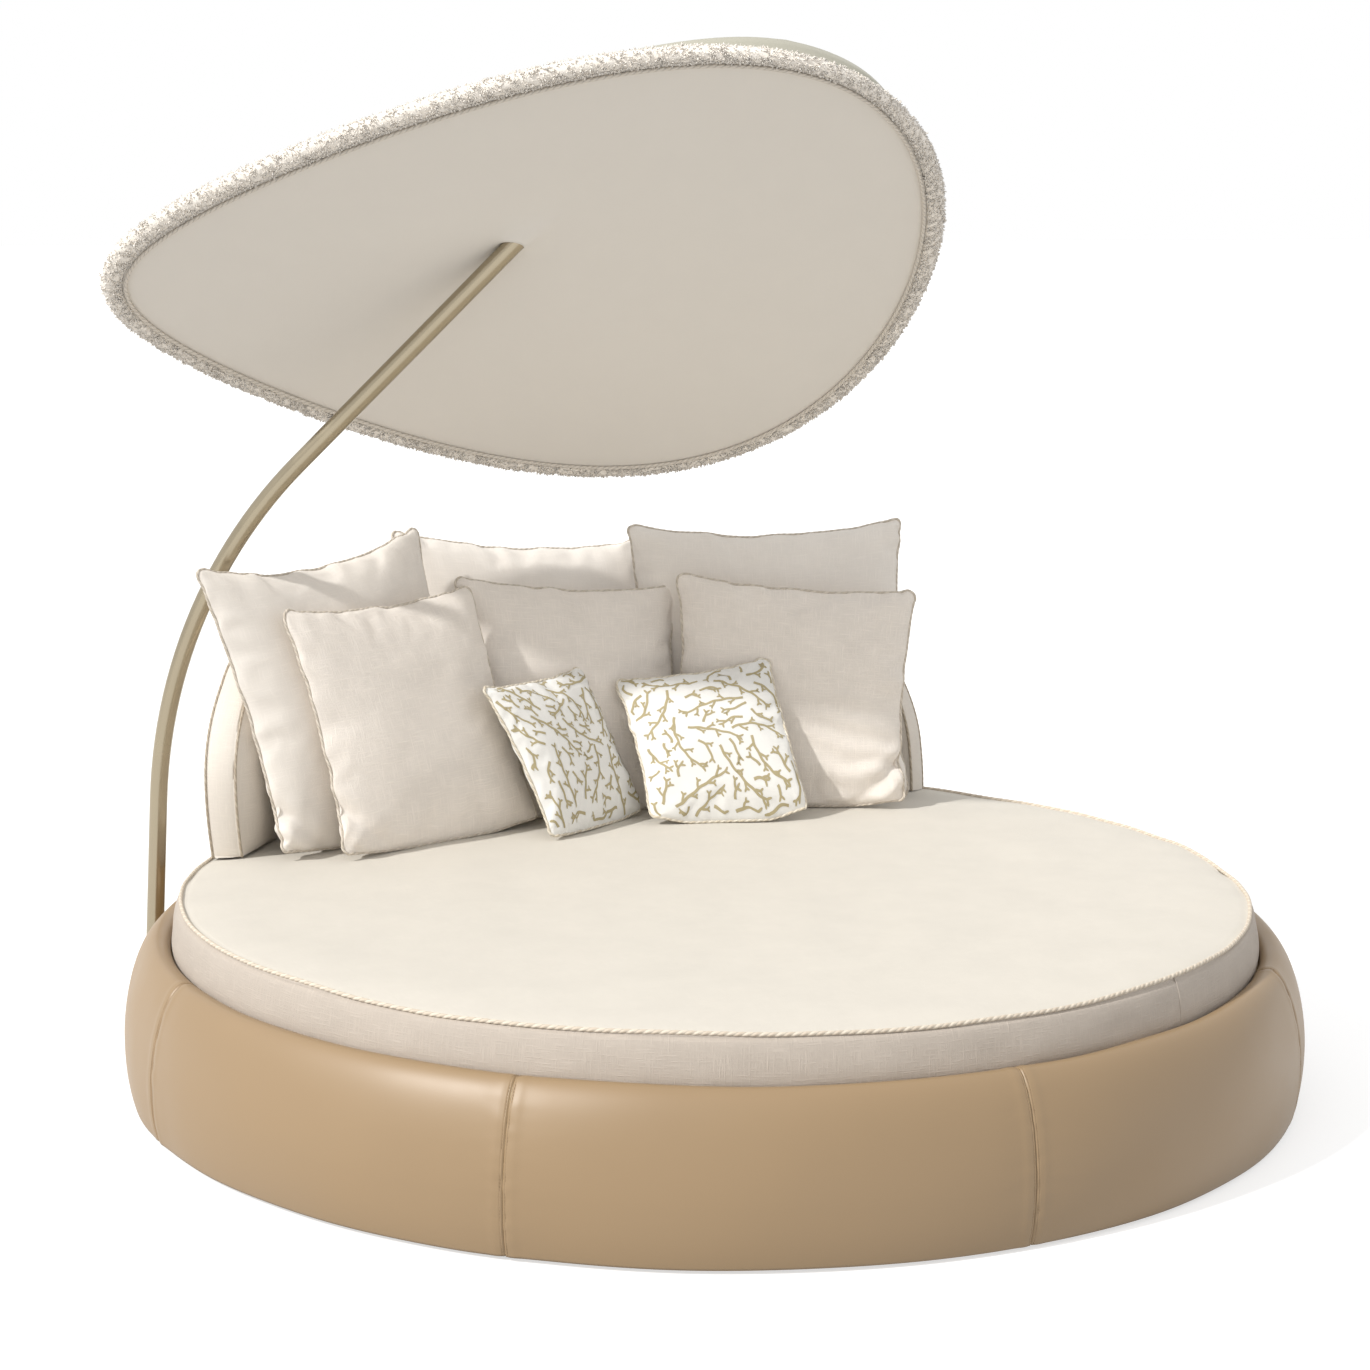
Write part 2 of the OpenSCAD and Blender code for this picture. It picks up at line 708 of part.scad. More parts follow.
module thrust_pad() {
    color("white") mast_place() translate([0, 0, thrust_z])
        cylinder(d = mast_d + 2 * bush_wall - 2 * seat_gap, h = thrust_t, $fn = mast_fn);
}

module bush(z) {
    mast_place() translate([0, 0, z])
        tube(mast_d + 2 * bush_wall - 2 * slide_gap, mast_d + 2 * slide_gap, bush_l);
}

module bush_low() {
    color("white") bush(bush_low_z);
}

module bush_high() {
    color("white") bush(socket_l - bush_l);
}

module clamp_collar() {
    color("silver") mast_place() difference() {
        union() {
            translate([0, 0, collar_z]) cylinder(d = collar_d, h = collar_h, $fn = mast_fn);
            screw_place() rotate([0, 90, 0])
                cylinder(d = boss_d, h = collar_d / 2 + boss_l, $fn = mast_fn);
        }
        translate([0, 0, collar_z - cut_over])
            cylinder(d = socket_d + 2 * slide_gap, h = collar_h + 2 * cut_over, $fn = mast_fn);
        screw_place() rotate([0, 90, 0])
            cylinder(d = screw_d + 2 * slide_gap, h = collar_d + boss_l, $fn = mast_fn / 2);
    }
}

module clamp_knob() {
    lobe_d = knob_d / 3;
    color("black") mast_place() screw_place() rotate([0, 90, 0])
        union() {
            translate([0, 0, mast_d / 2 + seat_gap])
                cylinder(d = screw_d, $fn = mast_fn / 2,
                    h = collar_d / 2 + boss_l + knob_stem - mast_d / 2);
            translate([0, 0, collar_d / 2 + boss_l + seat_gap])
                cylinder(d = 2 * screw_d, h = knob_stem, $fn = mast_fn);
            translate([0, 0, collar_d / 2 + boss_l + knob_stem]) {
                cylinder(d = knob_d - lobe_d / 2, h = knob_t, $fn = mast_fn);
                around(knob_lobes) translate([(knob_d - lobe_d) / 2, 0, 0])
                    cylinder(d = lobe_d, h = knob_t, $fn = mast_fn / 2);
            }
        }
}

// Mast and canopy

module mast_lower() {
    foot = thrust_z + thrust_t + seat_gap;
    bore = mast_d - 2 * mast_wall;
    color("tan") mast_place() {
        translate([0, 0, foot]) tube(mast_d, bore, mast_low_l - foot);
        translate([-mast_bend_r, 0, mast_low_l]) rotate([90, 0, 0])
            rotate_extrude(angle = mast_bend, $fn = mast_fn)
            translate([mast_bend_r, 0]) difference() {
                circle(d = mast_d, $fn = mast_fn);
                circle(d = bore, $fn = mast_fn);
            }
    }
}

module mast_upper() {
    color("tan") mast_top_place() translate([0, 0, joint_gap - mast_high_l])
        tube(mast_d, mast_d - 2 * mast_wall, mast_high_l - joint_gap + mast_tip_l);
}

// The spigot is thinner in the bend than in the straight tube
module mast_spigot() {
    bore = mast_d - 2 * mast_wall;
    color("silver") mast_top_place() translate([0, 0, joint_gap - mast_high_l]) {
        cylinder(d = bore - 2 * slide_gap, h = spigot_l, $fn = mast_fn);
        translate([0, 0, -spigot_l / 2])
            cylinder(d = bore - spigot_step, h = spigot_l, $fn = mast_fn);
    }
}

module canopy_hub() {
    color("silver") difference() {
        union() {
            canopy_place() translate([hub_c[0], hub_c[1], hub_low])
                cylinder(d = hub_d, h = hub_t);
            canopy_place() translate([hub_c[0], hub_c[1], mast_in_canopy[2] * hub_at])
                cylinder(d = hub_column_d, h = hub_low + hub_t / 2 - mast_in_canopy[2] * hub_at,
                    $fn = mast_fn);
            mast_top_place() translate([0, 0, sleeve_from])
                cylinder(d = sleeve_d, h = sleeve_to - sleeve_from, $fn = mast_fn);
        }
        mast_top_place() cylinder(d = mast_d + 2 * slide_gap, h = mast_tip_l + seat_gap,
            $fn = mast_fn);
    }
}

module canopy_rim() {
    color("silver") canopy_place() linear_extrude(rim_h) difference() {
        polygon(canopy_loop(0));
        polygon(canopy_loop(-rim_t));
    }
}

// A rib from the side of the hub to the inner face of the rim, arched like the skin
module canopy_rib(k) {
    t = 360 * rib_stations[k] / canopy_n;
    end = canopy_line(t) - hub_c;
    l = norm(end);
    slant = acos(min(1, abs(end * canopy_normal(t)) / l));
    reach = l - (rim_t + rib_end_gap) / cos(slant) - rib_w / 2 * tan(slant);
    from = hub_d / 2 + seat_gap;
    shares = [for (q = concat([from / l], [for (d = dome_shares) if (d > from / l && d < reach / l) d],
        [reach / l])) q];
    top = [for (q = shares) [q * l, dome_z(q) - rib_drop]];
    low = [for (q = shares) [q * l, dome_z(q) - rib_drop - rib_h]];
    color("silver") canopy_place() translate([hub_c[0], hub_c[1], 0])
        rotate([0, 0, atan2(end[1], end[0])]) rotate([90, 0, 0])
        translate([0, 0, -rib_w / 2]) linear_extrude(rib_w) polygon(concat(top, reversed(low)));
}

module canopy_rib_1() { canopy_rib(0); }
module canopy_rib_2() { canopy_rib(1); }
module canopy_rib_3() { canopy_rib(2); }
module canopy_rib_4() { canopy_rib(3); }
module canopy_rib_5() { canopy_rib(4); }
module canopy_rib_6() { canopy_rib(5); }

module canopy_skin() {
    color("darkkhaki") canopy_place() canopy_sheet(
        [for (q = dome_shares) dome_z(q)], [for (q = dome_shares) dome_z(q) + skin_t]);
}

module canopy_lining() {
    color("tan") difference() {
        canopy_place() canopy_sheet(
            [for (q = dome_shares) lining_z(q)], [for (q = dome_shares) lining_z(q) + skin_t]);
        mast_top_place() translate([0, 0, -mast_tip_l])
            cylinder(d = mast_d + 2 * seat_gap, h = 2 * mast_tip_l, $fn = mast_fn);
    }
}

module canopy_fringe() {
    w = fringe_w;
    h = rim_h;
    fringe_shares = [[0, -0.2], [0.35, -0.45], [0.75, -0.3], [0.97, 0.1], [1, 0.55],
        [0.8, 1.0], [0.4, 1.2], [0, 1.1]];
    color("wheat") canopy_band([for (s = fringe_shares)
        [seat_gap + s[0] * (w - seat_gap), s[1] * h]]);
}

module canopy_welt() {
    r = piping_d * 2 / 5;
    z = lining_z(1) - seat_gap - r;
    color("antiquewhite") canopy_band([for (i = [0:5])
        [-rim_t / 2 + r * cos(60 * i), z + r * sin(60 * i)]]);
}

floor_glides();
centre_foot();
lower_hoop();
upper_hoop();
hoop_posts();
deck_beams();
centre_post();
deck_left();
deck_right();
rim_wall();
rim_foam();
leather_panel_1();
leather_panel_2();
leather_panel_3();
leather_panel_4();
leather_panel_5();
leather_panel_6();
leather_panel_7();
leather_panel_8();
mattress_core();
mattress_cover();
mattress_piping_top();
mattress_piping_low();
backrest();
pillow_1();
pillow_2();
pillow_3();
pillow_4();
pillow_5();
pillow_6();
pillow_7();
pillow_8();
foot_plate();
plate_pads();
plate_screws();
mast_socket();
thrust_pad();
bush_low();
bush_high();
clamp_collar();
clamp_knob();
mast_lower();
mast_upper();
mast_spigot();
canopy_hub();
canopy_rim();
canopy_rib_1();
canopy_rib_2();
canopy_rib_3();
canopy_rib_4();
canopy_rib_5();
canopy_rib_6();
canopy_skin();
canopy_lining();
canopy_fringe();
canopy_welt();
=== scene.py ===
"""Round outdoor daybed: leather ring, linen mattress, backrest, pillows and fringed sun canopy."""

import math
from collections import namedtuple

import bpy
import numpy as np
from bpy.props import FloatProperty, FloatVectorProperty, IntProperty, PointerProperty
from mathutils import Matrix, Vector


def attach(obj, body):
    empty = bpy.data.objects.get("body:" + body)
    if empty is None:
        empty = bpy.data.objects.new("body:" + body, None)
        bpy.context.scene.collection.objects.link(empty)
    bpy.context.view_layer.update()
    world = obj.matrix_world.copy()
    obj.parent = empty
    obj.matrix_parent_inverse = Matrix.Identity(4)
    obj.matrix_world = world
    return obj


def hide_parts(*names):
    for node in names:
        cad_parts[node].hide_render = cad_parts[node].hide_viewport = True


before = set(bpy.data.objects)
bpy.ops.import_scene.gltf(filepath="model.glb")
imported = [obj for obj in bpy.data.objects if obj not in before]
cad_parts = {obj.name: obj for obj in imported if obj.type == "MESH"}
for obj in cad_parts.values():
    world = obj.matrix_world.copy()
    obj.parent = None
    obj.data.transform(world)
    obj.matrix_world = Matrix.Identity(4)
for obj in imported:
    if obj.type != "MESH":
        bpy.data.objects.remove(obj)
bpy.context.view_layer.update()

bl_info = {
    "name": "Round outdoor daybed",
    "version": (1, 0, 0),
    "blender": (4, 5, 0),
    "location": "View3D > Sidebar > Daybed",
    "description": "Dresses the frame of a round daybed in leather, linen and a fringed sun canopy",
    "category": "Object",
}

BASE = "base"
CANOPY = "canopy_mast"
TURN = 2 * math.pi
UV_NAME = "cloth"


# Properties


def metres(name, text, value):
    """A length property in metres."""
    return FloatProperty(name=name, description=text, default=value, unit="LENGTH", precision=4)


def angle(name, text, degrees):
    """An angle property, with its default given in degrees."""
    return FloatProperty(name=name, description=text, default=math.radians(degrees), subtype="ANGLE")


def tint(name, text, value):
    """A colour property."""
    return FloatVectorProperty(
        name=name, description=text, subtype="COLOR", size=3, min=0, max=1, default=value
    )


class DAYBED_PG_ring(bpy.types.PropertyGroup):
    """Sizes and colours of the leather ring."""

    radius: metres("Radius", "Radius of the widest line of the ring", 1.201)
    width: metres("Width", "From the widest line in to the opening", 0.0965)
    roll_w: metres("Roll width", "From the opening out to the crest", 0.028)
    roll_drop: metres("Roll drop", "From the crest down to the opening's edge", 0.018)
    height: metres("Height", "Height of the crest", 0.313)
    wide_z: metres("Widest height", "Height of the widest line", 0.118)
    foot_in: metres("Foot draw-in", "How far the foot draws in", 0.014)
    foot_z: metres("Foot height", "Height of the floor glides", 0.008)
    leather: metres("Leather", "Thickness of the leather", 0.003)
    seam: metres("Seam", "Width of the groove between two panels", 0.0006)
    panels: IntProperty(name="Panels", description="Number of leather panels", default=8)
    stitch_gap: metres("Stitch pitch", "Distance between two stitches", 0.0058)
    stitch_in: metres("Stitch offset", "Distance of a stitch row from the seam", 0.005)
    colour: tint("Leather colour", "Colour of the leather", (0.305, 0.205, 0.108))
    thread: tint("Thread colour", "Colour of the stitching", (0.28, 0.19, 0.11))


class DAYBED_PG_mattress(bpy.types.PropertyGroup):
    """Sizes and colours of the mattress."""

    inset: metres("Inset", "From the ring's opening in to the upper piping", 0.0225)
    base_z: metres("Deck height", "Height of the deck", 0.280)
    thickness: metres("Thickness", "Height of the mattress at its middle", 0.120)
    crown: metres("Crown", "Rise of the top from its piping to the middle", 0.008)
    cord: metres("Piping", "Diameter of the piping", 0.010)
    seam_bearing: angle("Boxing seam", "Bearing of the upright seam", -67.0)
    top: tint("Top colour", "Colour of the brushed top", (0.67, 0.63, 0.56))
    side: tint("Side colour", "Colour of the slubbed boxing", (0.54, 0.475, 0.41))


class DAYBED_PG_backrest(bpy.types.PropertyGroup):
    """Sizes and colours of the backrest."""

    inset: metres("Inset", "From the upper piping in to the backrest", 0.001)
    height: metres("Height", "Height above the mattress", 0.450)
    thickness: metres("Thickness", "Thickness of the backrest", 0.080)
    corner: metres("Corner", "Radius of the upper corners", 0.270)
    span: angle("Span", "Angle that the backrest spans", 107.0)
    colour: tint("Colour", "Colour of the backrest linen", (0.77, 0.71, 0.635))


class DAYBED_PG_pillows(bpy.types.PropertyGroup):
    """Sizes and colours of the loose pillows."""

    large: metres("Large side", "Side of a back pillow", 0.630)
    middle: metres("Middle side", "Side of a middle pillow", 0.515)
    small: metres("Small side", "Side of a small pillow", 0.350)
    large_t: metres("Large thickness", "Thickness of a back pillow", 0.120)
    middle_t: metres("Middle thickness", "Thickness of a middle pillow", 0.100)
    small_t: metres("Small thickness", "Thickness of a small pillow", 0.080)
    cord: metres("Piping", "Diameter of the pillow piping", 0.007)
    back: tint("Back colour", "Colour of the back pillows", (0.86, 0.805, 0.74))
    front: tint("Middle colour", "Colour of the middle pillows", (0.87, 0.805, 0.735))
    white: tint("Print ground", "Ground of the printed pillows", (0.83, 0.82, 0.79))
    ink: tint("Print colour", "Colour of the printed twigs", (0.44, 0.375, 0.225))


class DAYBED_PG_canopy(bpy.types.PropertyGroup):
    """Sizes and colours of the mast and canopy."""

    length: metres("Length", "Length of the canopy frame", 1.648)
    width: metres("Width", "Width of the canopy frame", 1.370)
    rise: metres("Rise", "Rise of the skin above its rim", 0.110)
    fringe: metres("Fringe", "Width of the fringe", 0.045)
    rim: metres("Rim", "Height of the rim", 0.022)
    cloth: metres("Cloth", "Thickness of the skin and the lining", 0.002)
    heading: angle("Heading", "Heading of the long axis", -14.0)
    tilt: angle("Tilt", "Tilt towards the back", 39.5)
    tube: metres("Tube", "Diameter of the mast tube", 0.038)
    foot_out: metres("Mast foot", "From the ring out to the mast foot", 0.059)
    low_l: metres("Lower mast", "Length of the straight lower part", 0.492)
    bend_r: metres("Bend radius", "Radius of the bend", 1.100)
    high_l: metres("Upper mast", "Length of the upper part up to the canopy", 0.672)
    bearing: angle("Bearing", "Bearing of the mast foot", 138.35)
    lean: angle("Lean", "Lean of the lower mast", 2.9)
    bend: angle("Bend", "Angle of the bend", 42.9)
    skin: tint("Skin colour", "Colour of the upper cloth", (0.47, 0.455, 0.38))
    lining: tint("Lining colour", "Colour of the lining", (0.80, 0.755, 0.69))
    pile: tint("Fringe colour", "Colour of the fringe", (0.97, 0.91, 0.83))
    metal: tint("Metal colour", "Colour of the mast", (0.39, 0.335, 0.24))


class DAYBED_PG_stage(bpy.types.PropertyGroup):
    """Camera and light."""

    lens: FloatProperty(
        name="Lens", description="Focal length on a 36 mm frame", default=78.05, unit="CAMERA"
    )
    roll: angle("Roll", "Roll of the camera", 0.4715)
    key: FloatProperty(name="Key light", description="Strength of the sun", default=3.0)
    ambient: FloatProperty(name="Ambient", description="Strength of the room light", default=0.82)


def props(group):
    """The property group of that name."""
    return getattr(bpy.context.scene, "daybed_" + group)


# Mesh helpers


def finish_object(name, mesh, materials, body):
    """A new smooth object that rides on a body and takes its finish from a slot."""
    for material in materials:
        mesh.materials.append(material)
    mesh.shade_smooth()
    piece = bpy.data.objects.new(name, mesh)
    bpy.context.scene.collection.objects.link(piece)
    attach(piece, body)
    return piece


def corner_points(mesh):
    """The number of the point at every corner of the faces."""
    corners = np.empty(len(mesh.loops), dtype=np.int32)
    mesh.loops.foreach_get("vertex_index", corners)
    return corners


def lay_cloth(mesh, flat):
    """Writes the cloth's layout, one row per corner, as the mesh's UV."""
    layer = mesh.uv_layers.new(name=UV_NAME)
    layer.data.foreach_set("uv", flat.astype(np.float32).ravel())


def build_mesh(name, points, faces, uv=None, slots=None, closes=False):
    """A mesh from arrays, with uv holding one row per point.

    Where the first value of uv closes on itself after each whole turn, closes keeps it even
    over the join.
    """
    mesh = bpy.data.meshes.new(name)
    mesh.from_pydata(np.asarray(points).tolist(), [], [list(f) for f in faces])
    if uv is not None:
        flat = np.asarray(uv, dtype=float)[corner_points(mesh)]
        if closes:
            sizes = np.array([len(face) for face in faces])
            first = np.repeat(flat[np.cumsum(sizes) - sizes, 0], sizes)
            flat[:, 0] -= np.round(flat[:, 0] - first)
        lay_cloth(mesh, flat)
    if slots is not None:
        mesh.polygons.foreach_set("material_index", np.asarray(slots, dtype=np.int32))
    mesh.update()
    return mesh


def quads_over(index, flip=False):
    """Quads between the neighbours in a table of point numbers."""
    quads = np.stack([index[:-1, :-1], index[1:, :-1], index[1:, 1:], index[:-1, 1:]], axis=-1)
    quads = quads.reshape(-1, 4)
    return quads[:, ::-1] if flip else quads


def grid_faces(rows, columns, wrap_rows=False, wrap_columns=False, flip=False):
    """Quads over a grid of points laid out row by row."""
    index = np.arange(rows * columns).reshape(rows, columns)
    if wrap_rows:
        index = np.vstack([index, index[:1]])
    if wrap_columns:
        index = np.hstack([index, index[:, :1]])
    return quads_over(index, flip)


def end_faces(rows, columns):
    """The faces that close the first and the last row of a tube."""
    first = list(range(columns))
    return [first, [(rows - 1) * columns + k for k in reversed(first)]]


def ripple(points, size, seed):
    """A smooth random field of about that wavelength, between about -1 and 1."""
    waves = 14
    draw = np.random.default_rng(seed)
    points = np.asarray(points)
    ways = draw.normal(size=(waves, points.shape[1]))
    ways /= np.linalg.norm(ways, axis=1)[:, None]
    ways *= TURN / size * draw.uniform(0.6, 1.5, waves)[:, None]
    shift = draw.uniform(0, TURN, waves)
    return np.sin(points @ ways.T + shift).sum(axis=1) / math.sqrt(waves)


def smooth_step(x, low, high):
    """0 below low, 1 above high, smooth between."""
    t = np.clip((np.asarray(x, dtype=float) - low) / (high - low), 0, 1)
    return t * t * (3 - 2 * t)


def unit(vectors):
    """The vectors at length 1."""
    vectors = np.asarray(vectors, dtype=float)
    return vectors / np.maximum(np.linalg.norm(vectors, axis=-1, keepdims=True), 1e-12)


def bell(x, width):
    """A bell curve of height 1 over 0."""
    return np.exp(-(x / width) ** 2)


def run_along(line):
    """Distance of every point of a polyline from its start."""
    return np.concatenate([[0], np.cumsum(np.linalg.norm(np.diff(line, axis=0), axis=1))])


def rows_at(want, known, rows):
    """Rows of an array at the wanted places between the known ones."""
    return np.stack([np.interp(want, known, column) for column in rows.T], axis=1)


def resample(points, count, closed=True):
    """Evenly spaced points along a polyline, and its length."""
    points = np.asarray(points, dtype=float)
    if closed:
        points = np.vstack([points, points[:1]])
    along = run_along(points)
    want = np.linspace(0, along[-1], count, endpoint=not closed)
    return rows_at(want, along, points), along[-1]


def resample_ways(ways, count, closed):
    """Directions spread along a line to the given count, or one direction for all of it."""
    ways = np.asarray(ways, dtype=float)
    if ways.ndim == 1:
        return np.repeat(ways[None, :], count, 0)
    at = np.linspace(0, len(ways) - (0 if closed else 1), count, endpoint=not closed)
    ways = np.vstack([ways, ways[:1]])
    return unit(rows_at(at, np.arange(len(ways)), ways))


def blur_line(points, times, closed=True):
    """Points along a line, each drawn towards its neighbours."""
    points = np.array(points, dtype=float)
    for _ in range(times):
        if closed:
            points = (np.roll(points, 1, 0) + 2 * points + np.roll(points, -1, 0)) / 4
        else:
            points[1:-1] = (points[:-2] + 2 * points[1:-1] + points[2:]) / 4
    return points


# Corners of a cord's section, and the length of its steps
CORD_SIDES, CORD_STEP = 8, 0.0021
# Length of one turn of the two strands, and depth of the groove between them
STRAND_PITCH, STRAND_DEPTH = 0.014, 0.07


def twisted_cord(name, line, normals, diameter, closed=True):
    """A cord of two twisted strands along a line, with its strand phase in the UV."""
    count = max(8, int(run_along(line)[-1] / CORD_STEP))
    line, length = resample(line, count, closed)
    if closed:
        ahead = unit(np.roll(line, -1, 0) - np.roll(line, 1, 0))
    else:
        ahead = unit(np.gradient(line, axis=0))
    side = unit(np.cross(ahead, resample_ways(normals, count, closed)))
    lift = np.cross(side, ahead)
    share = np.arange(count)[:, None] / count
    around = TURN * np.arange(CORD_SIDES)[None, :] / CORD_SIDES
    phase = 2 * around - TURN * max(1, round(length / STRAND_PITCH)) * share
    radius = diameter / 2 * (1 - STRAND_DEPTH + STRAND_DEPTH * np.cos(phase))
    ring = np.cos(around)[..., None] * side[:, None] + np.sin(around)[..., None] * lift[:, None]
    points = line[:, None] + radius[..., None] * ring
    uv = np.stack(np.broadcast_arrays(phase / TURN, length * share), axis=-1)
    faces = grid_faces(count, CORD_SIDES, wrap_rows=closed, wrap_columns=True).tolist()
    if not closed:
        faces += end_faces(count, CORD_SIDES)
    return build_mesh(name, points.reshape(-1, 3), faces, uv=uv.reshape(-1, 2), closes=True)


def scatter(template, places):
    """Copies of a small template mesh, as (points, faces). places holds 3 by 4 matrices."""
    points, faces = template
    spread = np.einsum("nij,kj->nki", places[:, :, :3], points) + places[:, None, :, 3]
    step = len(points) * np.arange(len(places))
    every = [[int(v) + int(s) for v in f] for s in step for f in faces]
    return spread.reshape(-1, 3), every


def stitch_template(length, width, height):
    """One stitch: a short bead along X."""
    along = np.array([-0.5, -0.38, 0, 0.38, 0.5])
    fat = np.array([0.25, 0.8, 1.0, 0.8, 0.25])
    rows, columns = len(along), 6
    around = TURN * np.arange(columns) / columns
    points = np.stack([
        np.repeat(along * length, columns),
        np.outer(fat, np.cos(around)).ravel() * width / 2,
        np.outer(fat, np.sin(around)).ravel() * height / 2], axis=1)
    faces = grid_faces(rows, columns, wrap_columns=True, flip=True).tolist()
    return points, faces + end_faces(rows, columns)


# Shader helpers


def once(make):
    """Makes each material or group once, and gives back the same one after that."""
    made = {}

    def again(*values):
        if values not in made:
            made[values] = make(*values)
        return made[values]
    return again


def put(tree, kind, inputs=(), **settings):
    """Adds a shader node and sets or links its inputs."""
    node = tree.nodes.new("ShaderNode" + kind)
    for key, value in settings.items():
        setattr(node, key, value)
    for key, value in dict(inputs).items():
        if isinstance(value, bpy.types.NodeSocket):
            tree.links.new(value, node.inputs[key])
        else:
            node.inputs[key].default_value = value
    return node


def maths(tree, operation, *values):
    """The result of a Math node."""
    return put(tree, "Math", enumerate(values), operation=operation).outputs[0]


def blend_colour(tree, factor, a, b, how="MIX"):
    """The colour that a Mix node gives."""
    node = put(tree, "Mix", data_type="RGBA", blend_type=how, clamp_factor=True)
    for socket, value in ((node.inputs[0], factor), (node.inputs[6], a), (node.inputs[7], b)):
        if isinstance(value, bpy.types.NodeSocket):
            tree.links.new(value, socket)
        else:
            socket.default_value = value
    return node.outputs[2]


def new_group(name, inputs, outputs):
    """An empty node group with named sockets, as (tree, inputs, output node)."""
    tree = bpy.data.node_groups.new(name, "ShaderNodeTree")
    for label, kind, value in inputs:
        socket = tree.interface.new_socket(label, in_out="INPUT", socket_type="NodeSocket" + kind)
        if value is not None:
            socket.default_value = value
    for label, kind in outputs:
        tree.interface.new_socket(label, in_out="OUTPUT", socket_type="NodeSocket" + kind)
    return tree, tree.nodes.new("NodeGroupInput").outputs, tree.nodes.new("NodeGroupOutput")


def give(tree, out, **sockets):
    """Links a group's results to its output node."""
    for name, socket in sockets.items():
        tree.links.new(socket, out.inputs[name])
    return tree


def noise(tree, vector, scale, **inputs):
    """The value of a Noise node."""
    return put(tree, "TexNoise", {"Vector": vector, "Scale": scale, **inputs}).outputs[0]


def spread(tree, value, low, high, to_low=0.0, to_high=1.0):
    """A value taken from one range to another."""
    return put(tree, "MapRange", {0: value, 1: low, 2: high, 3: to_low, 4: to_high}).outputs[0]


def stretched(tree, vector, shares):
    """A vector with its three values multiplied one by one."""
    return put(tree, "VectorMath", {0: vector, 1: shares}, operation="MULTIPLY").outputs[0]


def brightened(tree, colour, value):
    """A colour made lighter or darker."""
    return put(tree, "HueSaturation", {"Color": colour, "Value": value}).outputs[0]


def clouds_of(tree, cloud, colour, amount):
    """A colour that follows a cloudy value."""
    tone = maths(tree, "MULTIPLY", maths(tree, "SUBTRACT", cloud, 0.5), amount)
    return brightened(tree, colour, maths(tree, "ADD", 1.0, tone))


def ridge(tree, value):
    """A row of rounded ridges, one for each whole step of the value."""
    wave = maths(tree, "SINE", maths(tree, "MULTIPLY", value, math.pi))
    return maths(tree, "ABSOLUTE", wave)


@once
def group_weave():
    """Plain weave with slubs in both directions, and painted shade between the threads."""
    tree, given, out = new_group(
        "Plain weave",
        [("Vector", "Vector", None), ("Threads", "Float", 900.0), ("Slub", "Float", 0.5),
         ("Colour", "Color", (0.8, 0.8, 0.8, 1)), ("Shade", "Float", 0.12),
         ("Mottle", "Float", 0.08)],
        [("Colour", "Color"), ("Height", "Float"), ("Roughness", "Float")])
    grid = put(tree, "VectorMath", {0: given["Vector"], "Scale": given["Threads"]},
               operation="SCALE").outputs[0]
    axes = put(tree, "SeparateXYZ", {0: grid}).outputs
    over = put(tree, "TexChecker", {"Vector": grid, "Scale": 1.0}).outputs["Fac"]
    thread = put(tree, "Mix", {0: over, 2: ridge(tree, axes[0]), 3: ridge(tree, axes[1])}).outputs[0]
    slub = maths(tree, "MAXIMUM", *(
        spread(tree, noise(tree, stretched(tree, given["Vector"], long_way), 1.0, Detail=2.0),
               0.5, 0.78)
        for long_way in ((22.0, 360.0, 1.0), (360.0, 22.0, 1.0))))
    cloud = noise(tree, given["Vector"], 11.0, Detail=5.0, Roughness=0.62)
    # Painted shade: the colour darkens between the threads by the Shade input; the mottle added next
    # is random tone
    dark = maths(tree, "MULTIPLY", maths(tree, "SUBTRACT", 1.0, thread), given["Shade"])
    dark = maths(tree, "ADD", dark, maths(
        tree, "MULTIPLY", maths(tree, "SUBTRACT", cloud, 0.5), given["Mottle"]))
    light = maths(tree, "MULTIPLY", slub, maths(tree, "MULTIPLY", given["Slub"], 0.12))
    value = maths(tree, "ADD", maths(tree, "SUBTRACT", 1.0, dark), light)
    height = maths(tree, "ADD", maths(tree, "MULTIPLY", thread, 0.4),
                   maths(tree, "MULTIPLY", slub, given["Slub"]))
    rough = maths(tree, "SUBTRACT", 0.95, maths(tree, "MULTIPLY", thread, 0.12))
    return give(tree, out, Colour=brightened(tree, given["Colour"], value), Height=height,
                Roughness=rough)


@once
def group_grain():
    """Fine leather grain with soft clouds of tone."""
    tree, given, out = new_group(
        "Leather grain",
        [("Vector", "Vector", None), ("Scale", "Float", 650.0),
         ("Colour", "Color", (0.5, 0.4, 0.3, 1)), ("Mottle", "Float", 0.08)],
        [("Colour", "Color"), ("Height", "Float"), ("Roughness", "Float")])
    cells = put(tree, "TexVoronoi", {"Vector": given["Vector"], "Scale": given["Scale"]},
                feature="F1").outputs["Distance"]
    pores = noise(tree, given["Vector"], given["Scale"], Detail=3.0)
    cloud = noise(tree, given["Vector"], 4.0, Detail=4.0)
    height = maths(tree, "ADD", maths(tree, "MULTIPLY", cells, 0.7),
                   maths(tree, "MULTIPLY", pores, 0.3))
    return give(tree, out, Colour=clouds_of(tree, cloud, given["Colour"], given["Mottle"]),
                Height=height, Roughness=spread(tree, cloud, 0.3, 0.7, 0.40, 0.50))


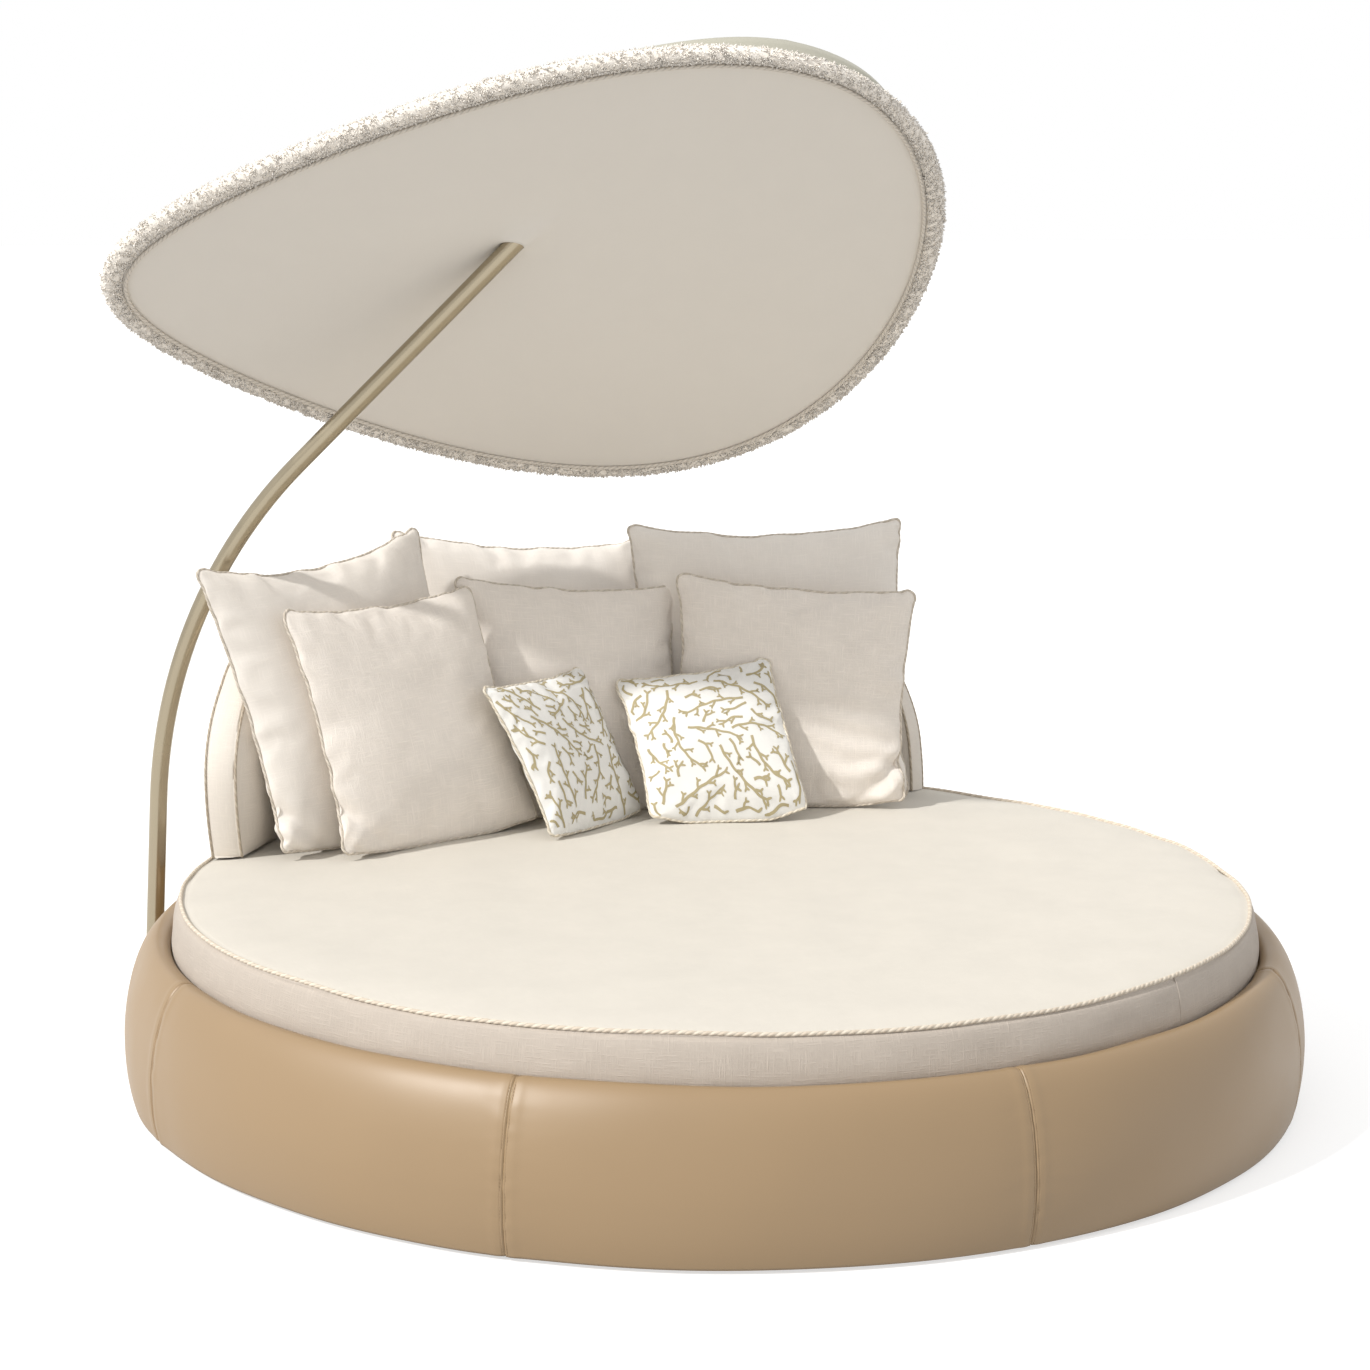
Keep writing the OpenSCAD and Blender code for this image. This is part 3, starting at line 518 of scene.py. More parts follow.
@once
def group_twist():
    """Light and dark strands of a twisted cord, from its strand phase, with painted shade in the
    groove between the strands.
    """
    tree, given, out = new_group(
        "Cord twist",
        [("Vector", "Vector", None), ("Light", "Color", (0.8, 0.8, 0.8, 1)),
         ("Dark", "Color", (0.4, 0.4, 0.4, 1)), ("Share", "Float", 0.4)],
        [("Colour", "Color"), ("Height", "Float")])
    phase = put(tree, "SeparateXYZ", {0: given["Vector"]}).outputs[0]
    wave = maths(tree, "COSINE", maths(tree, "MULTIPLY", phase, TURN))
    half = maths(tree, "COSINE", maths(tree, "MULTIPLY", phase, math.pi))
    fibre = noise(tree, given["Vector"], 900.0)
    mask = maths(tree, "MULTIPLY", spread(tree, half, -0.1, 0.5), given["Share"])
    colour = blend_colour(tree, mask, given["Light"], given["Dark"])
    # Painted shade: the colour darkens in the groove between the two strands
    groove = spread(tree, wave, -1.0, -0.5, 0.72, 1.0)
    return give(tree, out, Colour=brightened(tree, colour, groove),
                Height=maths(tree, "ADD", wave, maths(tree, "MULTIPLY", fibre, 0.5)))


@once
def group_clouds():
    """Soft clouds and fine speckle for painted, moulded, raw and plush surfaces."""
    tree, given, out = new_group(
        "Surface clouds",
        [("Vector", "Vector", None), ("Colour", "Color", (0.5, 0.5, 0.5, 1)),
         ("Clouds", "Float", 8.0), ("Speckle", "Float", 700.0), ("Amount", "Float", 0.1),
         ("Low", "Float", 0.3), ("High", "Float", 0.5)],
        [("Colour", "Color"), ("Height", "Float"), ("Roughness", "Float")])
    cloud = noise(tree, given["Vector"], given["Clouds"], Detail=5.0)
    fine = noise(tree, given["Vector"], given["Speckle"], Detail=2.0)
    return give(tree, out, Colour=clouds_of(tree, cloud, given["Colour"], given["Amount"]),
                Height=fine, Roughness=spread(tree, cloud, 0.3, 0.7, given["Low"], given["High"]))


def rgba(colour):
    """A colour with alpha 1."""
    return (*colour[:3], 1.0)


def new_material(name, roughness=0.5, metallic=0.0, sheen=0.0, specular=0.5):
    """A material with a Principled BSDF, as (material, tree, shader)."""
    material = bpy.data.materials.new(name)
    material.use_nodes = True
    tree = material.node_tree
    shader = tree.nodes["Principled BSDF"]
    for socket, value in (("Roughness", roughness), ("Metallic", metallic), ("Sheen Weight", sheen),
                          ("Sheen Roughness", 0.4), ("Specular IOR Level", specular)):
        shader.inputs[socket].default_value = value
    return material, tree, shader


def cloth_way(tree):
    """The cloth's own layout, in metres."""
    return put(tree, "UVMap", uv_map=UV_NAME).outputs[0]


def place_way(tree):
    """The place on the object, in metres."""
    return put(tree, "TexCoord").outputs["Object"]


def dress(tree, shader, group, values, depth, distance=0.001):
    """Places a group with its own values, and links its results to the shader."""
    node = put(tree, "Group", values, node_tree=group)
    tree.links.new(node.outputs["Colour"], shader.inputs["Base Color"])
    if "Roughness" in node.outputs:
        tree.links.new(node.outputs["Roughness"], shader.inputs["Roughness"])
    bump = put(tree, "Bump", {"Strength": depth, "Distance": distance,
                              "Height": node.outputs["Height"]})
    tree.links.new(bump.outputs[0], shader.inputs["Normal"])


@once
def linen(name, colour, threads, slub, shade, mottle, depth):
    """Woven linen laid out by the cloth's own UV, in metres."""
    material, tree, shader = new_material(name, sheen=0.12, specular=0.25)
    dress(tree, shader, group_weave(), {
        "Vector": cloth_way(tree), "Threads": threads, "Slub": slub, "Colour": rgba(colour),
        "Shade": shade, "Mottle": mottle}, depth)
    return material


@once
def cord_material(name, light, dark, share):
    """Twisted piping cord."""
    material, tree, shader = new_material(name, roughness=0.85, specular=0.25)
    dress(tree, shader, group_twist(), {
        "Vector": cloth_way(tree), "Light": rgba(light), "Dark": rgba(dark), "Share": share}, 0.4)
    return material


@once
def leather(name, colour):
    """Smooth full-grain leather."""
    material, tree, shader = new_material(name, specular=0.7)
    dress(tree, shader, group_grain(), {"Vector": place_way(tree), "Colour": rgba(colour)},
          0.10, 0.0006)
    return material


@once
def clouded(name, colour, low, high, metallic=0.0, clouds=8.0, speckle=700.0, amount=0.1, depth=0.1):
    """Painted, moulded or metal surface with soft clouds and fine speckle."""
    material, tree, shader = new_material(name, metallic=metallic)
    dress(tree, shader, group_clouds(), {
        "Vector": place_way(tree), "Colour": rgba(colour), "Clouds": clouds, "Speckle": speckle,
        "Amount": amount, "Low": low, "High": high}, depth, 0.0005)
    return material


@once
def plywood(name, colour):
    """Raw birch plywood with long grain."""
    material, tree, shader = new_material(name)
    dress(tree, shader, group_clouds(), {
        "Vector": stretched(tree, place_way(tree), (2.0, 40.0, 40.0)), "Colour": rgba(colour),
        "Clouds": 2.0, "Speckle": 14.0, "Amount": 0.5, "Low": 0.55, "High": 0.75}, 0.25, 0.0005)
    return material


@once
def plush(name, colour):
    """Soft matt pile."""
    material, tree, shader = new_material(name, sheen=0.8, specular=0.1, roughness=0.95)
    dress(tree, shader, group_clouds(), {
        "Vector": place_way(tree), "Colour": rgba(colour), "Clouds": 30.0, "Speckle": 500.0,
        "Amount": 0.16, "Low": 0.9, "High": 1.0}, 0.5, 0.002)
    return material


def seen_directly(tree):
    """1 where the camera, a reflection or a clear piece shows the surface, and 0 elsewhere."""
    light = put(tree, "LightPath").outputs
    mirrored = maths(tree, "MAXIMUM", light["Is Glossy Ray"], light["Is Transmission Ray"])
    return maths(tree, "MAXIMUM", light["Is Camera Ray"], mirrored)


# Ring


# Powers of the curves above and below the widest line
SHOULDER_POWER, FOOT_POWER = 1.73, 2.47
# Columns of a panel, and how much closer they lie beside a seam
PANEL_COLUMNS, SEAM_CROWDING = 113, 3.3
# Relief of the leather beside a seam: its height, its distance from the seam and its width
SEAM_RELIEF = ((-0.0021, 0, 0.0021), (0.0008, 0.017, 0.009))
# The dip that a row of stitches draws into the leather
STITCH_DIP, STITCH_DIP_WIDTH = -0.0007, 0.0012
# Puckers at a seam and the swell of a whole panel: size of a wave, and its height
PUCKER, SWELL = (0.034, 0.0005), (0.42, 0.0009)
# How far the leather lies inside its solid, all over and at most
LEATHER_SINK, LEATHER_DEEPEST = 0.0003, -0.0024
# A stitch: its width, its height, its share of the pitch, and how deep it sits
STITCH_WIDTH, STITCH_HEIGHT, STITCH_SHARE, STITCH_SINK = 0.0011, 0.0009, 0.74, 0.0007


def ring_curve(ring, inset, count):
    """Evenly spaced points on the ring's outer line, from the opening over the crest to the foot."""
    crest_r = ring.radius - ring.width + ring.roll_w
    a = np.radians(np.linspace(0, 90, 40, endpoint=False))
    roll = np.stack([
        crest_r - (ring.roll_w - inset) * np.cos(a),
        ring.height - ring.roll_drop + (ring.roll_drop - inset) * np.sin(a)], axis=1)
    a = np.radians(np.linspace(90, 0, 161))
    wide, high = (np.maximum(f(a), 0) ** (2 / SHOULDER_POWER) for f in (np.cos, np.sin))
    shoulder = np.stack([
        crest_r + (ring.radius - crest_r - inset) * wide,
        ring.wide_z + (ring.height - ring.wide_z - inset) * high], axis=1)
    t = np.arange(1, 61) / 60
    foot = np.stack([
        ring.radius - inset - ring.foot_in * t ** FOOT_POWER,
        ring.wide_z - t * (ring.wide_z - ring.foot_z - inset)], axis=1)
    return resample(np.vstack([roll, shoulder, foot]), count, closed=False)[0]


class DAYBED_OT_ring(bpy.types.Operator):
    """Builds the eight leather panels with their seams and stitching"""

    bl_idname = "daybed.ring"
    bl_label = "Leather ring"

    def execute(self, context):
        ring = props("ring")
        skin = leather("tan_leather", tuple(ring.colour))
        outer = ring_curve(ring, 0, 76)
        section, outward = self.section(ring, outer)
        for k in range(ring.panels):
            points, faces, flat = self.panel(ring, section, outward, k)
            mesh = build_mesh(f"leather_cover_{k + 1}", points, faces, uv=flat)
            piece = finish_object(f"leather_cover_{k + 1}", mesh, [skin], BASE)
            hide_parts(f"leather_panel_{k + 1}")
        self.stitch(ring, outer)
        return {"FINISHED"}

    def section(self, ring, outer):
        """Closed section of the leather, and the outward direction along its outer line."""
        mattress = props("mattress")
        open_r = ring.radius - ring.width
        wall_r = open_r + ring.leather
        tuck_z = mattress.base_z + mattress.cord / 3
        inner = ring_curve(ring, ring.leather, 30)[::-1]
        section = np.vstack([
            [[open_r, tuck_z]], outer, [[wall_r, ring.foot_z], [wall_r, ring.foot_z + ring.leather]],
            inner, [[wall_r, tuck_z]]])
        outward = np.zeros_like(section)
        slope = np.gradient(outer, axis=0)
        outward[1:1 + len(outer)] = unit(np.stack([-slope[:, 1], slope[:, 0]], axis=1))
        return section, outward

    def panel(self, ring, section, outward, k):
        """Points, faces and flat layout of one panel, with its relief beside the seams."""
        span = TURN / ring.panels
        across = np.tanh(SEAM_CROWDING * np.linspace(-1, 1, PANEL_COLUMNS)) / math.tanh(SEAM_CROWDING)
        turn = (k + 0.5) * span + across * (span / 2 - ring.seam / ring.radius / 2)
        edge = (span / 2 - np.abs(turn - (k + 0.5) * span)) * ring.radius
        shape = len(turn), len(section)
        a, e, t = (np.broadcast_to(x, shape) for x in (turn[:, None], edge[:, None],
                                                       run_along(section)))
        flat = np.stack([a * ring.radius, t], axis=-1).reshape(-1, 2)
        relief = SEAM_RELIEF + ((STITCH_DIP, ring.stitch_in, STITCH_DIP_WIDTH),)
        dip = sum(height * bell(e - away, width) for height, away, width in relief)
        pucker = ripple(flat * (0.35, 1), PUCKER[0], 40 + k).reshape(shape)
        pucker *= PUCKER[1] * np.exp(-e / 0.03)
        swell = ripple(flat, SWELL[0], 60 + k).reshape(shape)
        swell *= SWELL[1] * smooth_step(e, 0, 0.08)
        lift = np.maximum(dip + pucker + swell - LEATHER_SINK, LEATHER_DEEPEST)
        r = section[:, 0] + lift * outward[:, 0]
        z = section[:, 1] + lift * outward[:, 1]
        points = np.stack([r * np.cos(a), r * np.sin(a), z], axis=-1).reshape(-1, 3)
        return points, grid_faces(*shape, wrap_columns=True).tolist() + end_faces(*shape), flat

    def stitch(self, ring, outer):
        """A row of stitches on either side of each seam."""
        line, length = resample(outer, 400, closed=False)
        count = int((length - 2 * 0.006) / ring.stitch_gap)
        steps = np.arange(len(line))
        at = (np.arange(count) + 0.5) / count * steps[-1]
        place = rows_at(at, steps, line)
        slope = unit(rows_at(at, steps, np.gradient(line, axis=0)))
        spots = []
        for k in range(ring.panels):
            for side in (-1, 1):
                turn = k * TURN / ring.panels + side * ring.stitch_in / ring.radius
                c, s = math.cos(turn), math.sin(turn)
                for (r, z), (dr, dz) in zip(place, slope):
                    ahead = np.array([dr * c, dr * s, dz])
                    out = np.array([-dz * c, -dz * s, dr])
                    centre = np.array([r * c, r * s, z]) - STITCH_SINK * out
                    spots.append(np.column_stack([ahead, np.cross(out, ahead), out, centre]))
        stitch = stitch_template(ring.stitch_gap * STITCH_SHARE, STITCH_WIDTH, STITCH_HEIGHT)
        mesh = build_mesh("leather_stitching", *scatter(stitch, np.array(spots)))
        thread = clouded("seam_thread", tuple(ring.thread), 0.55, 0.7)
        finish_object("leather_stitching", mesh, [thread], BASE)


# Mattress


# Columns round the mattress, its gap to the ring, and the share of the radius where its crown
# begins to fall
MATTRESS_SECTORS, MATTRESS_GAP, CROWN_START = 288, 0.00035, 0.9
# Waves and drop of the upper edge, dents of the top, and softness of the side
RIM_WAVE, RIM_DROP, TOP_DENT, SIDE_SOFTNESS = 0.0022, 0.0012, 0.0016, 0.0012
# Where the piping draws the top and the side in: distance from it, width and depth
TOP_PULL, SIDE_PULL = (0.0075, 0.004, 0.0016), (0.0075, 0.0032, 0.0030)
# How far the upper piping stands out and up, and the cord's share of the piping's diameter
PIPING_OUT, PIPING_UP, PIPING_SHARE = 0.0016, 0.0012, 0.86
# Section of the raised seam of the boxing: round the side and outward
SEAM_SECTION = ((-0.0022, -0.0004), (-0.0008, 0.0009), (0.0008, 0.0009), (0.0022, -0.0004),
                (0.0016, -0.0012), (-0.0016, -0.0012))


def mattress_sizes():
    """Radius of the piping and of the bulge, and height of the seat's middle and edge."""
    ring, mattress = props("ring"), props("mattress")
    open_r = ring.radius - ring.width
    seat_z = mattress.base_z + mattress.thickness
    return open_r - mattress.inset, open_r - MATTRESS_GAP, seat_z, seat_z - mattress.crown


def mattress_side(t):
    """Share of the bulge at a share of the height."""
    bulge, power, tuck = 0.29, 1.7, 0.35
    low = 1 - tuck * ((bulge - t) / bulge) ** 2
    high = np.maximum(0, 1 - np.maximum(0, (t - bulge) / (1 - bulge)) ** power) ** (1 / power)
    return np.where(t < bulge, low, high)


def seat_height(radius):
    """Height of the mattress top at a distance from the centre."""
    pipe_r, _, seat_z, edge_z = mattress_sizes()
    share = np.maximum(0, (radius / pipe_r - CROWN_START) / (1 - CROWN_START))
    return edge_z + (seat_z - edge_z) * (1 - share ** 2)


class DAYBED_OT_mattress(bpy.types.Operator):
    """Builds the mattress cover and its two lines of piping"""

    bl_idname = "daybed.mattress"
    bl_label = "Mattress"

    def execute(self, context):
        mattress = props("mattress")
        top = linen("mattress_top_linen", tuple(mattress.top), 750.0, 0.35, 0.10, 0.10, 0.35)
        side = linen("mattress_side_linen", tuple(mattress.side), 620.0, 0.9, 0.16, 0.14, 0.7)
        sectors = MATTRESS_SECTORS
        heights = np.concatenate([np.linspace(0, 0.84, 19), np.linspace(0.865, 1, 11)])
        points = self.form(mattress, heights)
        foot = (len(heights) - 1) * sectors
        last = len(points) - sectors
        centre_top, centre_low = len(points), len(points) + 1
        faces = grid_faces(len(points) // sectors, sectors, wrap_columns=True, flip=True).tolist()
        for j in range(sectors):
            faces.append([last + j, last + (j + 1) % sectors, centre_top])
        for j in range(sectors):
            faces.append([(j + 1) % sectors, j, centre_low])
        seat_z = mattress_sizes()[2]
        points = np.vstack([points, [0, 0, seat_z - 0.001], [0, 0, mattress.base_z]])
        slots = (np.arange(len(faces)) < foot).astype(int)
        mesh = build_mesh("mattress", points, faces, slots=slots)
        self.lay_out(mesh, points, slots)
        piece = finish_object("mattress", mesh, [top, side], BASE)
        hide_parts("mattress_cover", "mattress_core")
        self.piping(mattress, points[foot:foot + sectors])
        self.boxing_seam(mattress, side)
        return {"FINISHED"}

    def form(self, mattress, heights):
        """Points of the cover, row by row, from its foot up the side and in over the top."""
        pipe_r, bulge_r, _, edge_z = mattress_sizes()
        wall_r = pipe_r + (bulge_r - pipe_r) * mattress_side(heights)
        wall_z = mattress.base_z + heights * (edge_z - mattress.base_z)
        top_r = pipe_r * (1 - np.linspace(0, 1, 64)[1:-1] ** 1.45)
        radii = np.concatenate([wall_r, top_r])
        levels = np.concatenate([wall_z, seat_height(top_r)])
        turn = TURN * np.arange(MATTRESS_SECTORS) / MATTRESS_SECTORS
        r, a = np.meshgrid(radii, turn, indexing="ij")
        z = np.repeat(levels[:, None], len(turn), 1)
        spot = np.stack([r * np.cos(a), r * np.sin(a), z], axis=-1).reshape(-1, 3)
        rim = ripple(spot[:, :2], 0.55, 5) + 0.5 * ripple(spot[:, :2], 0.22, 6) - 0.8
        soft, dents = ripple(spot, 0.12, 8), ripple(spot[:, :2], 0.30, 9)
        rim, soft, dents = (field.reshape(r.shape) for field in (rim, soft, dents))
        near = smooth_step(r, 0.72 * pipe_r, pipe_r)
        up = smooth_step(z, mattress.base_z, edge_z)
        z = z + up * (near * RIM_WAVE * rim - RIM_DROP + (1 - near) * TOP_DENT * dents)
        away, width, depth = TOP_PULL
        z = z - np.where(r < pipe_r, depth * bell(pipe_r - r - away, width), 0)
        away, width, depth = SIDE_PULL
        drawn_in = depth * bell(z - edge_z + away, width)
        drawn_in += SIDE_SOFTNESS * (1 + soft) * np.sin(np.pi * up)
        on_wall = (np.arange(len(radii)) < len(heights))[:, None]
        r = r - np.where(on_wall, drawn_in, 0)
        return np.stack([r * np.cos(a), r * np.sin(a), z], axis=-1).reshape(-1, 3)

    def lay_out(self, mesh, points, slots):
        """Lays the cloth flat on top and unrolls it round the side."""
        spot = points[corner_points(mesh)]
        owner = np.repeat(np.arange(len(mesh.polygons)), [p.loop_total for p in mesh.polygons])
        middle = np.zeros((len(mesh.polygons), 2))
        np.add.at(middle, owner, spot[:, :2])
        turn = np.arctan2(spot[:, 1], spot[:, 0])
        guide = np.arctan2(middle[owner, 1], middle[owner, 0])
        turn = guide + (turn - guide + math.pi) % TURN - math.pi
        unrolled = np.stack([turn * mattress_sizes()[0], spot[:, 2]], axis=1)
        lay_cloth(mesh, np.where((slots[owner] == 1)[:, None], unrolled, spot[:, :2]))

    def piping(self, mattress, rim):
        """The upper and lower piping."""
        cord = cord_material("mattress_cord", (0.72, 0.64, 0.53), (0.55, 0.46, 0.36), 0.5)
        pipe_r, bulge_r, _, _ = mattress_sizes()
        reach = unit(rim * (1, 1, 0))
        top = reach * (pipe_r + PIPING_OUT)
        top[:, 2] = blur_line(rim, 3)[:, 2] + PIPING_UP
        low = reach * (bulge_r - 0.35 * (bulge_r - pipe_r))
        low[:, 2] = mattress.base_z + mattress.cord / 2 + 0.0005
        for end, line in (("top", top), ("low", low)):
            name = "mattress_cord_" + end
            mesh = twisted_cord(name, line, (0, 0, 1), mattress.cord * PIPING_SHARE)
            piece = finish_object(name, mesh, [cord], BASE)
            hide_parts("mattress_piping_" + end)

    def boxing_seam(self, mattress, cloth):
        """The upright seam of the boxing, as a slim raised fold."""
        pipe_r, bulge_r, _, edge_z = mattress_sizes()
        share = np.linspace(0.05, 0.97, 30)
        radius = pipe_r + (bulge_r - pipe_r) * mattress_side(share) - 0.0006
        z = mattress.base_z + share * (edge_z - mattress.base_z)
        lines = []
        for side, out in SEAM_SECTION:
            turn = mattress.seam_bearing + side / bulge_r
            lines.append(np.stack([(radius + out) * np.cos(turn), (radius + out) * np.sin(turn), z],
                                  axis=1))
        rows, columns = len(share), len(lines)
        points = np.stack(lines, axis=1).reshape(-1, 3)
        faces = grid_faces(rows, columns, wrap_columns=True).tolist()
        faces += [face[::-1] for face in end_faces(rows, columns)]
        uv = np.stack([np.tile(np.arange(columns) * 0.001, rows), np.repeat(z, columns)], axis=1)
        mesh = build_mesh("mattress_seam", points, faces, uv=uv)
        finish_object("mattress_seam", mesh, [cloth], BASE)


# Backrest


# How far the left end bellies out below its rounded corner, and up to what height
LEFT_BELLY, LEFT_BELLY_TOP = 0.040, 0.36
# How far the right end flares at its foot, and up to what height
RIGHT_FLARE, RIGHT_FLARE_TOP = 0.026, 0.30
# How much larger the radius of the right upper corner is
RIGHT_CORNER_MORE = 0.060
# How much fuller the front is beside the left end
FRONT_FULLNESS = 0.030
# Upright folds where the cloth turns round the right end: place along the half length, and depth
END_FOLDS = ((0.93, 0.0050), (0.885, 0.0032), (0.965, 0.0030))


class DAYBED_OT_backrest(bpy.types.Operator):
    """Builds the curved backrest with piping along its front and back edges"""

    bl_idname = "daybed.backrest"
    bl_label = "Backrest"

    def execute(self, context):
        rest = props("backrest")
        cloth = linen("backrest_linen", tuple(rest.colour), 760.0, 0.6, 0.12, 0.12, 0.5)
        cord = cord_material("backrest_cord", (0.50, 0.43, 0.34), (0.38, 0.31, 0.235), 0.6)
        columns, rows = 170, 34
        s = self.half_length(rest) * np.sin(np.pi / 2 * np.linspace(-1, 1, columns))
        share = 1 - (1 - np.linspace(0, 1, rows)) ** 1.6
        s, share = np.meshgrid(s, share, indexing="ij")
        flat = np.stack([s, share * self.top_line(rest, s)], axis=-1).reshape(-1, 2)
        front, back = (self.face(rest, s, share, way) for way in (-1, 1))
        border = np.concatenate([np.arange(rows - 1), np.arange(columns) * rows + rows - 1,
                                 (columns - 1) * rows + np.arange(rows - 1)[::-1]])
        edges = front[border], back[border]
        band, band_flat = self.band(rest, *edges, flat[border])
        mesh = build_mesh("backrest_pad", np.vstack([front, back, band.reshape(-1, 3)]),
                          self.faces(columns, rows, border, band.shape[1]),
                          uv=np.vstack([flat, flat + (0.0, 1.0), band_flat.reshape(-1, 2)]))
        mesh.validate()
        piece = finish_object("backrest_pad", mesh, [cloth], BASE)
        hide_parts("backrest")
        out = unit(band[:, band.shape[1] // 2] - (edges[0] + edges[1]) / 2)
        for name, edge in zip(("backrest_cord_front", "backrest_cord_back"), edges):
            line = blur_line(edge + 0.0012 * out, 3, closed=False)
            mesh = twisted_cord(name, line, unit(line * (1, 1, 0)), 0.0065, closed=False)
            finish_object(name, mesh, [cord], BASE)
        return {"FINISHED"}

    def middle_r(self, rest):
        """Radius of the arc along the middle of the backrest."""
        return mattress_sizes()[0] - rest.inset - rest.thickness / 2

    def half_length(self, rest):
        """Half the length of that arc."""
        return rest.span / 2 * self.middle_r(rest)

    def top_line(self, rest, s):
        """Height of the top edge along the arc."""
        corner = np.where(s < 0, rest.corner, rest.corner + RIGHT_CORNER_MORE)
        over = np.maximum(np.abs(s) - (self.half_length(rest) - corner), 0)
        return rest.height - corner + np.sqrt(np.maximum(0, corner ** 2 - over ** 2))

    def faces(self, columns, rows, border, steps):
        """Faces of the front, the back, the band between them and the flat foot."""
        count = columns * rows
        front = grid_faces(columns, rows)
        inner = np.arange(len(border) * steps).reshape(len(border), steps) + 2 * count
        band = quads_over(np.column_stack([border, inner, border + count]), flip=True)
        foot = np.arange(columns) * rows
        floor = np.stack([foot[:-1], foot[1:], foot[1:] + count, foot[:-1] + count], axis=1)
        left, right = int(border[0]), int(border[-1])
        ends = [inner[0].tolist() + [left + count, left],
                inner[-1][::-1].tolist() + [right, right + count]]
        return np.vstack([front, front[:, ::-1] + count, band, floor]).tolist() + ends

    def place(self, rest, s, height, depth):
        """A point from its distance along the arc, its height and its depth."""
        middle_r, half_l = self.middle_r(rest), self.half_length(rest)
        belly = -LEFT_BELLY * np.sin(np.pi * np.clip(height / LEFT_BELLY_TOP, 0, 1))
        flare = RIGHT_FLARE * (1 - smooth_step(height, 0, RIGHT_FLARE_TOP))
        s = s + np.where(s < 0, belly, flare) * smooth_step(np.abs(s), half_l - 0.25, half_l)
        bearing = math.pi / 2 - s / middle_r
        r = middle_r + depth
        z = np.maximum(mattress_sizes()[3] + height, seat_height(r)) + 0.0006
        return np.stack([r * np.cos(bearing), r * np.sin(bearing), z], axis=-1)

    def face(self, rest, s, share, way):
        """The front (-1) or back (1) face: full in the middle, softer towards its piping."""
        half_l, top = self.half_length(rest), self.top_line(rest, s)
        height = share * top
        full = 1 - np.exp(-np.minimum(top - height, half_l - np.abs(s)) / 0.028)
        depth = rest.thickness / 2 * (0.80 + 0.20 * full)
        spot = np.stack([s.ravel(), height.ravel() * 1.6], axis=1)
        soft = ripple(spot, 0.16, 21 + way).reshape(s.shape)
        depth = depth + 0.0016 * (soft - 1) * full
        if way < 0:
            # The front is fuller beside the free left end
            from_end = half_l + s
            fat = smooth_step(from_end, 0, 0.085) * (1 - smooth_step(from_end, 0.11, 0.26))
            depth = depth + FRONT_FULLNESS * fat * np.sin(np.pi * np.clip(share, 0, 1)) ** 0.5
        for middle, size in END_FOLDS:
            across = (s / half_l - middle + 0.03 * (share - 0.5) ** 2) * half_l
            depth = depth - size * bell(across, 0.011) * np.sin(np.pi * share) ** 0.7
        return self.place(rest, s, height, way * depth).reshape(-1, 3)

    def band(self, rest, front, back, line):
        """The boxing between the two faces, crowned a little, and its flat layout."""
        steps = 9
        t = (np.arange(steps) + 1) / (steps + 1)
        spots = front[:, None] + (back - front)[:, None] * t[None, :, None]
        way = unit(np.gradient(line, axis=0))
        normal = np.stack([-way[:, 1], way[:, 0]], axis=1)
        for _ in range(6):
            normal[1:-1] = unit(normal[:-2] + 2 * normal[1:-1] + normal[2:])
        bearing = math.pi / 2 - line[:, 0] / self.middle_r(rest)
        along = np.stack([np.sin(bearing), -np.cos(bearing), np.zeros(len(bearing))], axis=1)
        out = normal[:, :1] * along + normal[:, 1:] * np.array([[0, 0, 1.0]])
        crown = 0.007 * np.sin(np.pi * t) ** 0.6
        spots = spots + crown[None, :, None] * out[:, None, :]
        run = run_along(line)[:, None]
        return spots, np.stack(np.broadcast_arrays(run, 2.0 + rest.thickness * t[None]), axis=-1)


# Pillows

# Place of each pillow: ahead of the one behind in thicknesses, along the backrest in sides, and
# its turn, lean and roll in degrees
PILLOW_PLACES = [
    (1.045, -0.906, -15, 15.5, 4),
    (0.925, -0.044, 1.5, 18.5, -3.5),
    (1.05, 0.868, 9.5, 11.5, 2.5),
    (1.565, -0.902, -24.5, 14.5, 5),
    (1.315, 0.049, -2, 18, -4.5),
    (1.2, 1.057, 12, 9, -2),
    (2.49, -0.213, 18, 25.5, 4),
    (2.28, 0.79, 4, 28.5, 9.5),
]
# Large, middle or small
PILLOW_KINDS = [0, 0, 0, 1, 1, 1, 2, 2]
PILLOW_CELLS = 52
# How far the slack cloth drops in the middle of the upper edge
TOP_DROPS = [0.030, 0.014, 0.015, 0.004, 0.004, 0.003, 0.003, 0.003]
# Where a pillow is drawn out of square: across, up and forward at its upper left, upper right,
# lower left and lower right corner
CORNER_SLIPS = {
    0: ((-0.024, 0.013, 0), (0.005, 0.004, 0), (0.020, 0.010, 0), (0, 0, 0)),
    1: ((0.006, 0.002, 0), (0.030, -0.013, -0.018), (0, 0, 0), (0.030, 0, -0.018)),
    2: ((-0.006, 0.010, 0.012), (0.009, 0.002, 0), (-0.006, 0, 0.012), (0, 0, 0)),
    3: ((-0.002, 0.030, 0), (0.011, 0.002, -0.054), (0.016, 0, 0), (0.036, 0, -0.020)),
    4: ((-0.025, 0.006, 0.024), (0.008, 0.004, 0), (-0.008, 0, 0.022), (0, 0, 0)),
    5: ((-0.024, 0.006, 0), (0.017, -0.010, 0), (0, 0, 0), (0.010, 0.010, 0)),
    6: ((0.002, 0.020, 0), (-0.008, 0.0, 0), (0.034, 0.008, 0), (0.016, 0.008, 0)),
    7: ((-0.012, 0.005, 0), (-0.001, -0.003, 0), (0.004, 0, 0), (0.024, 0.020, 0)),
}
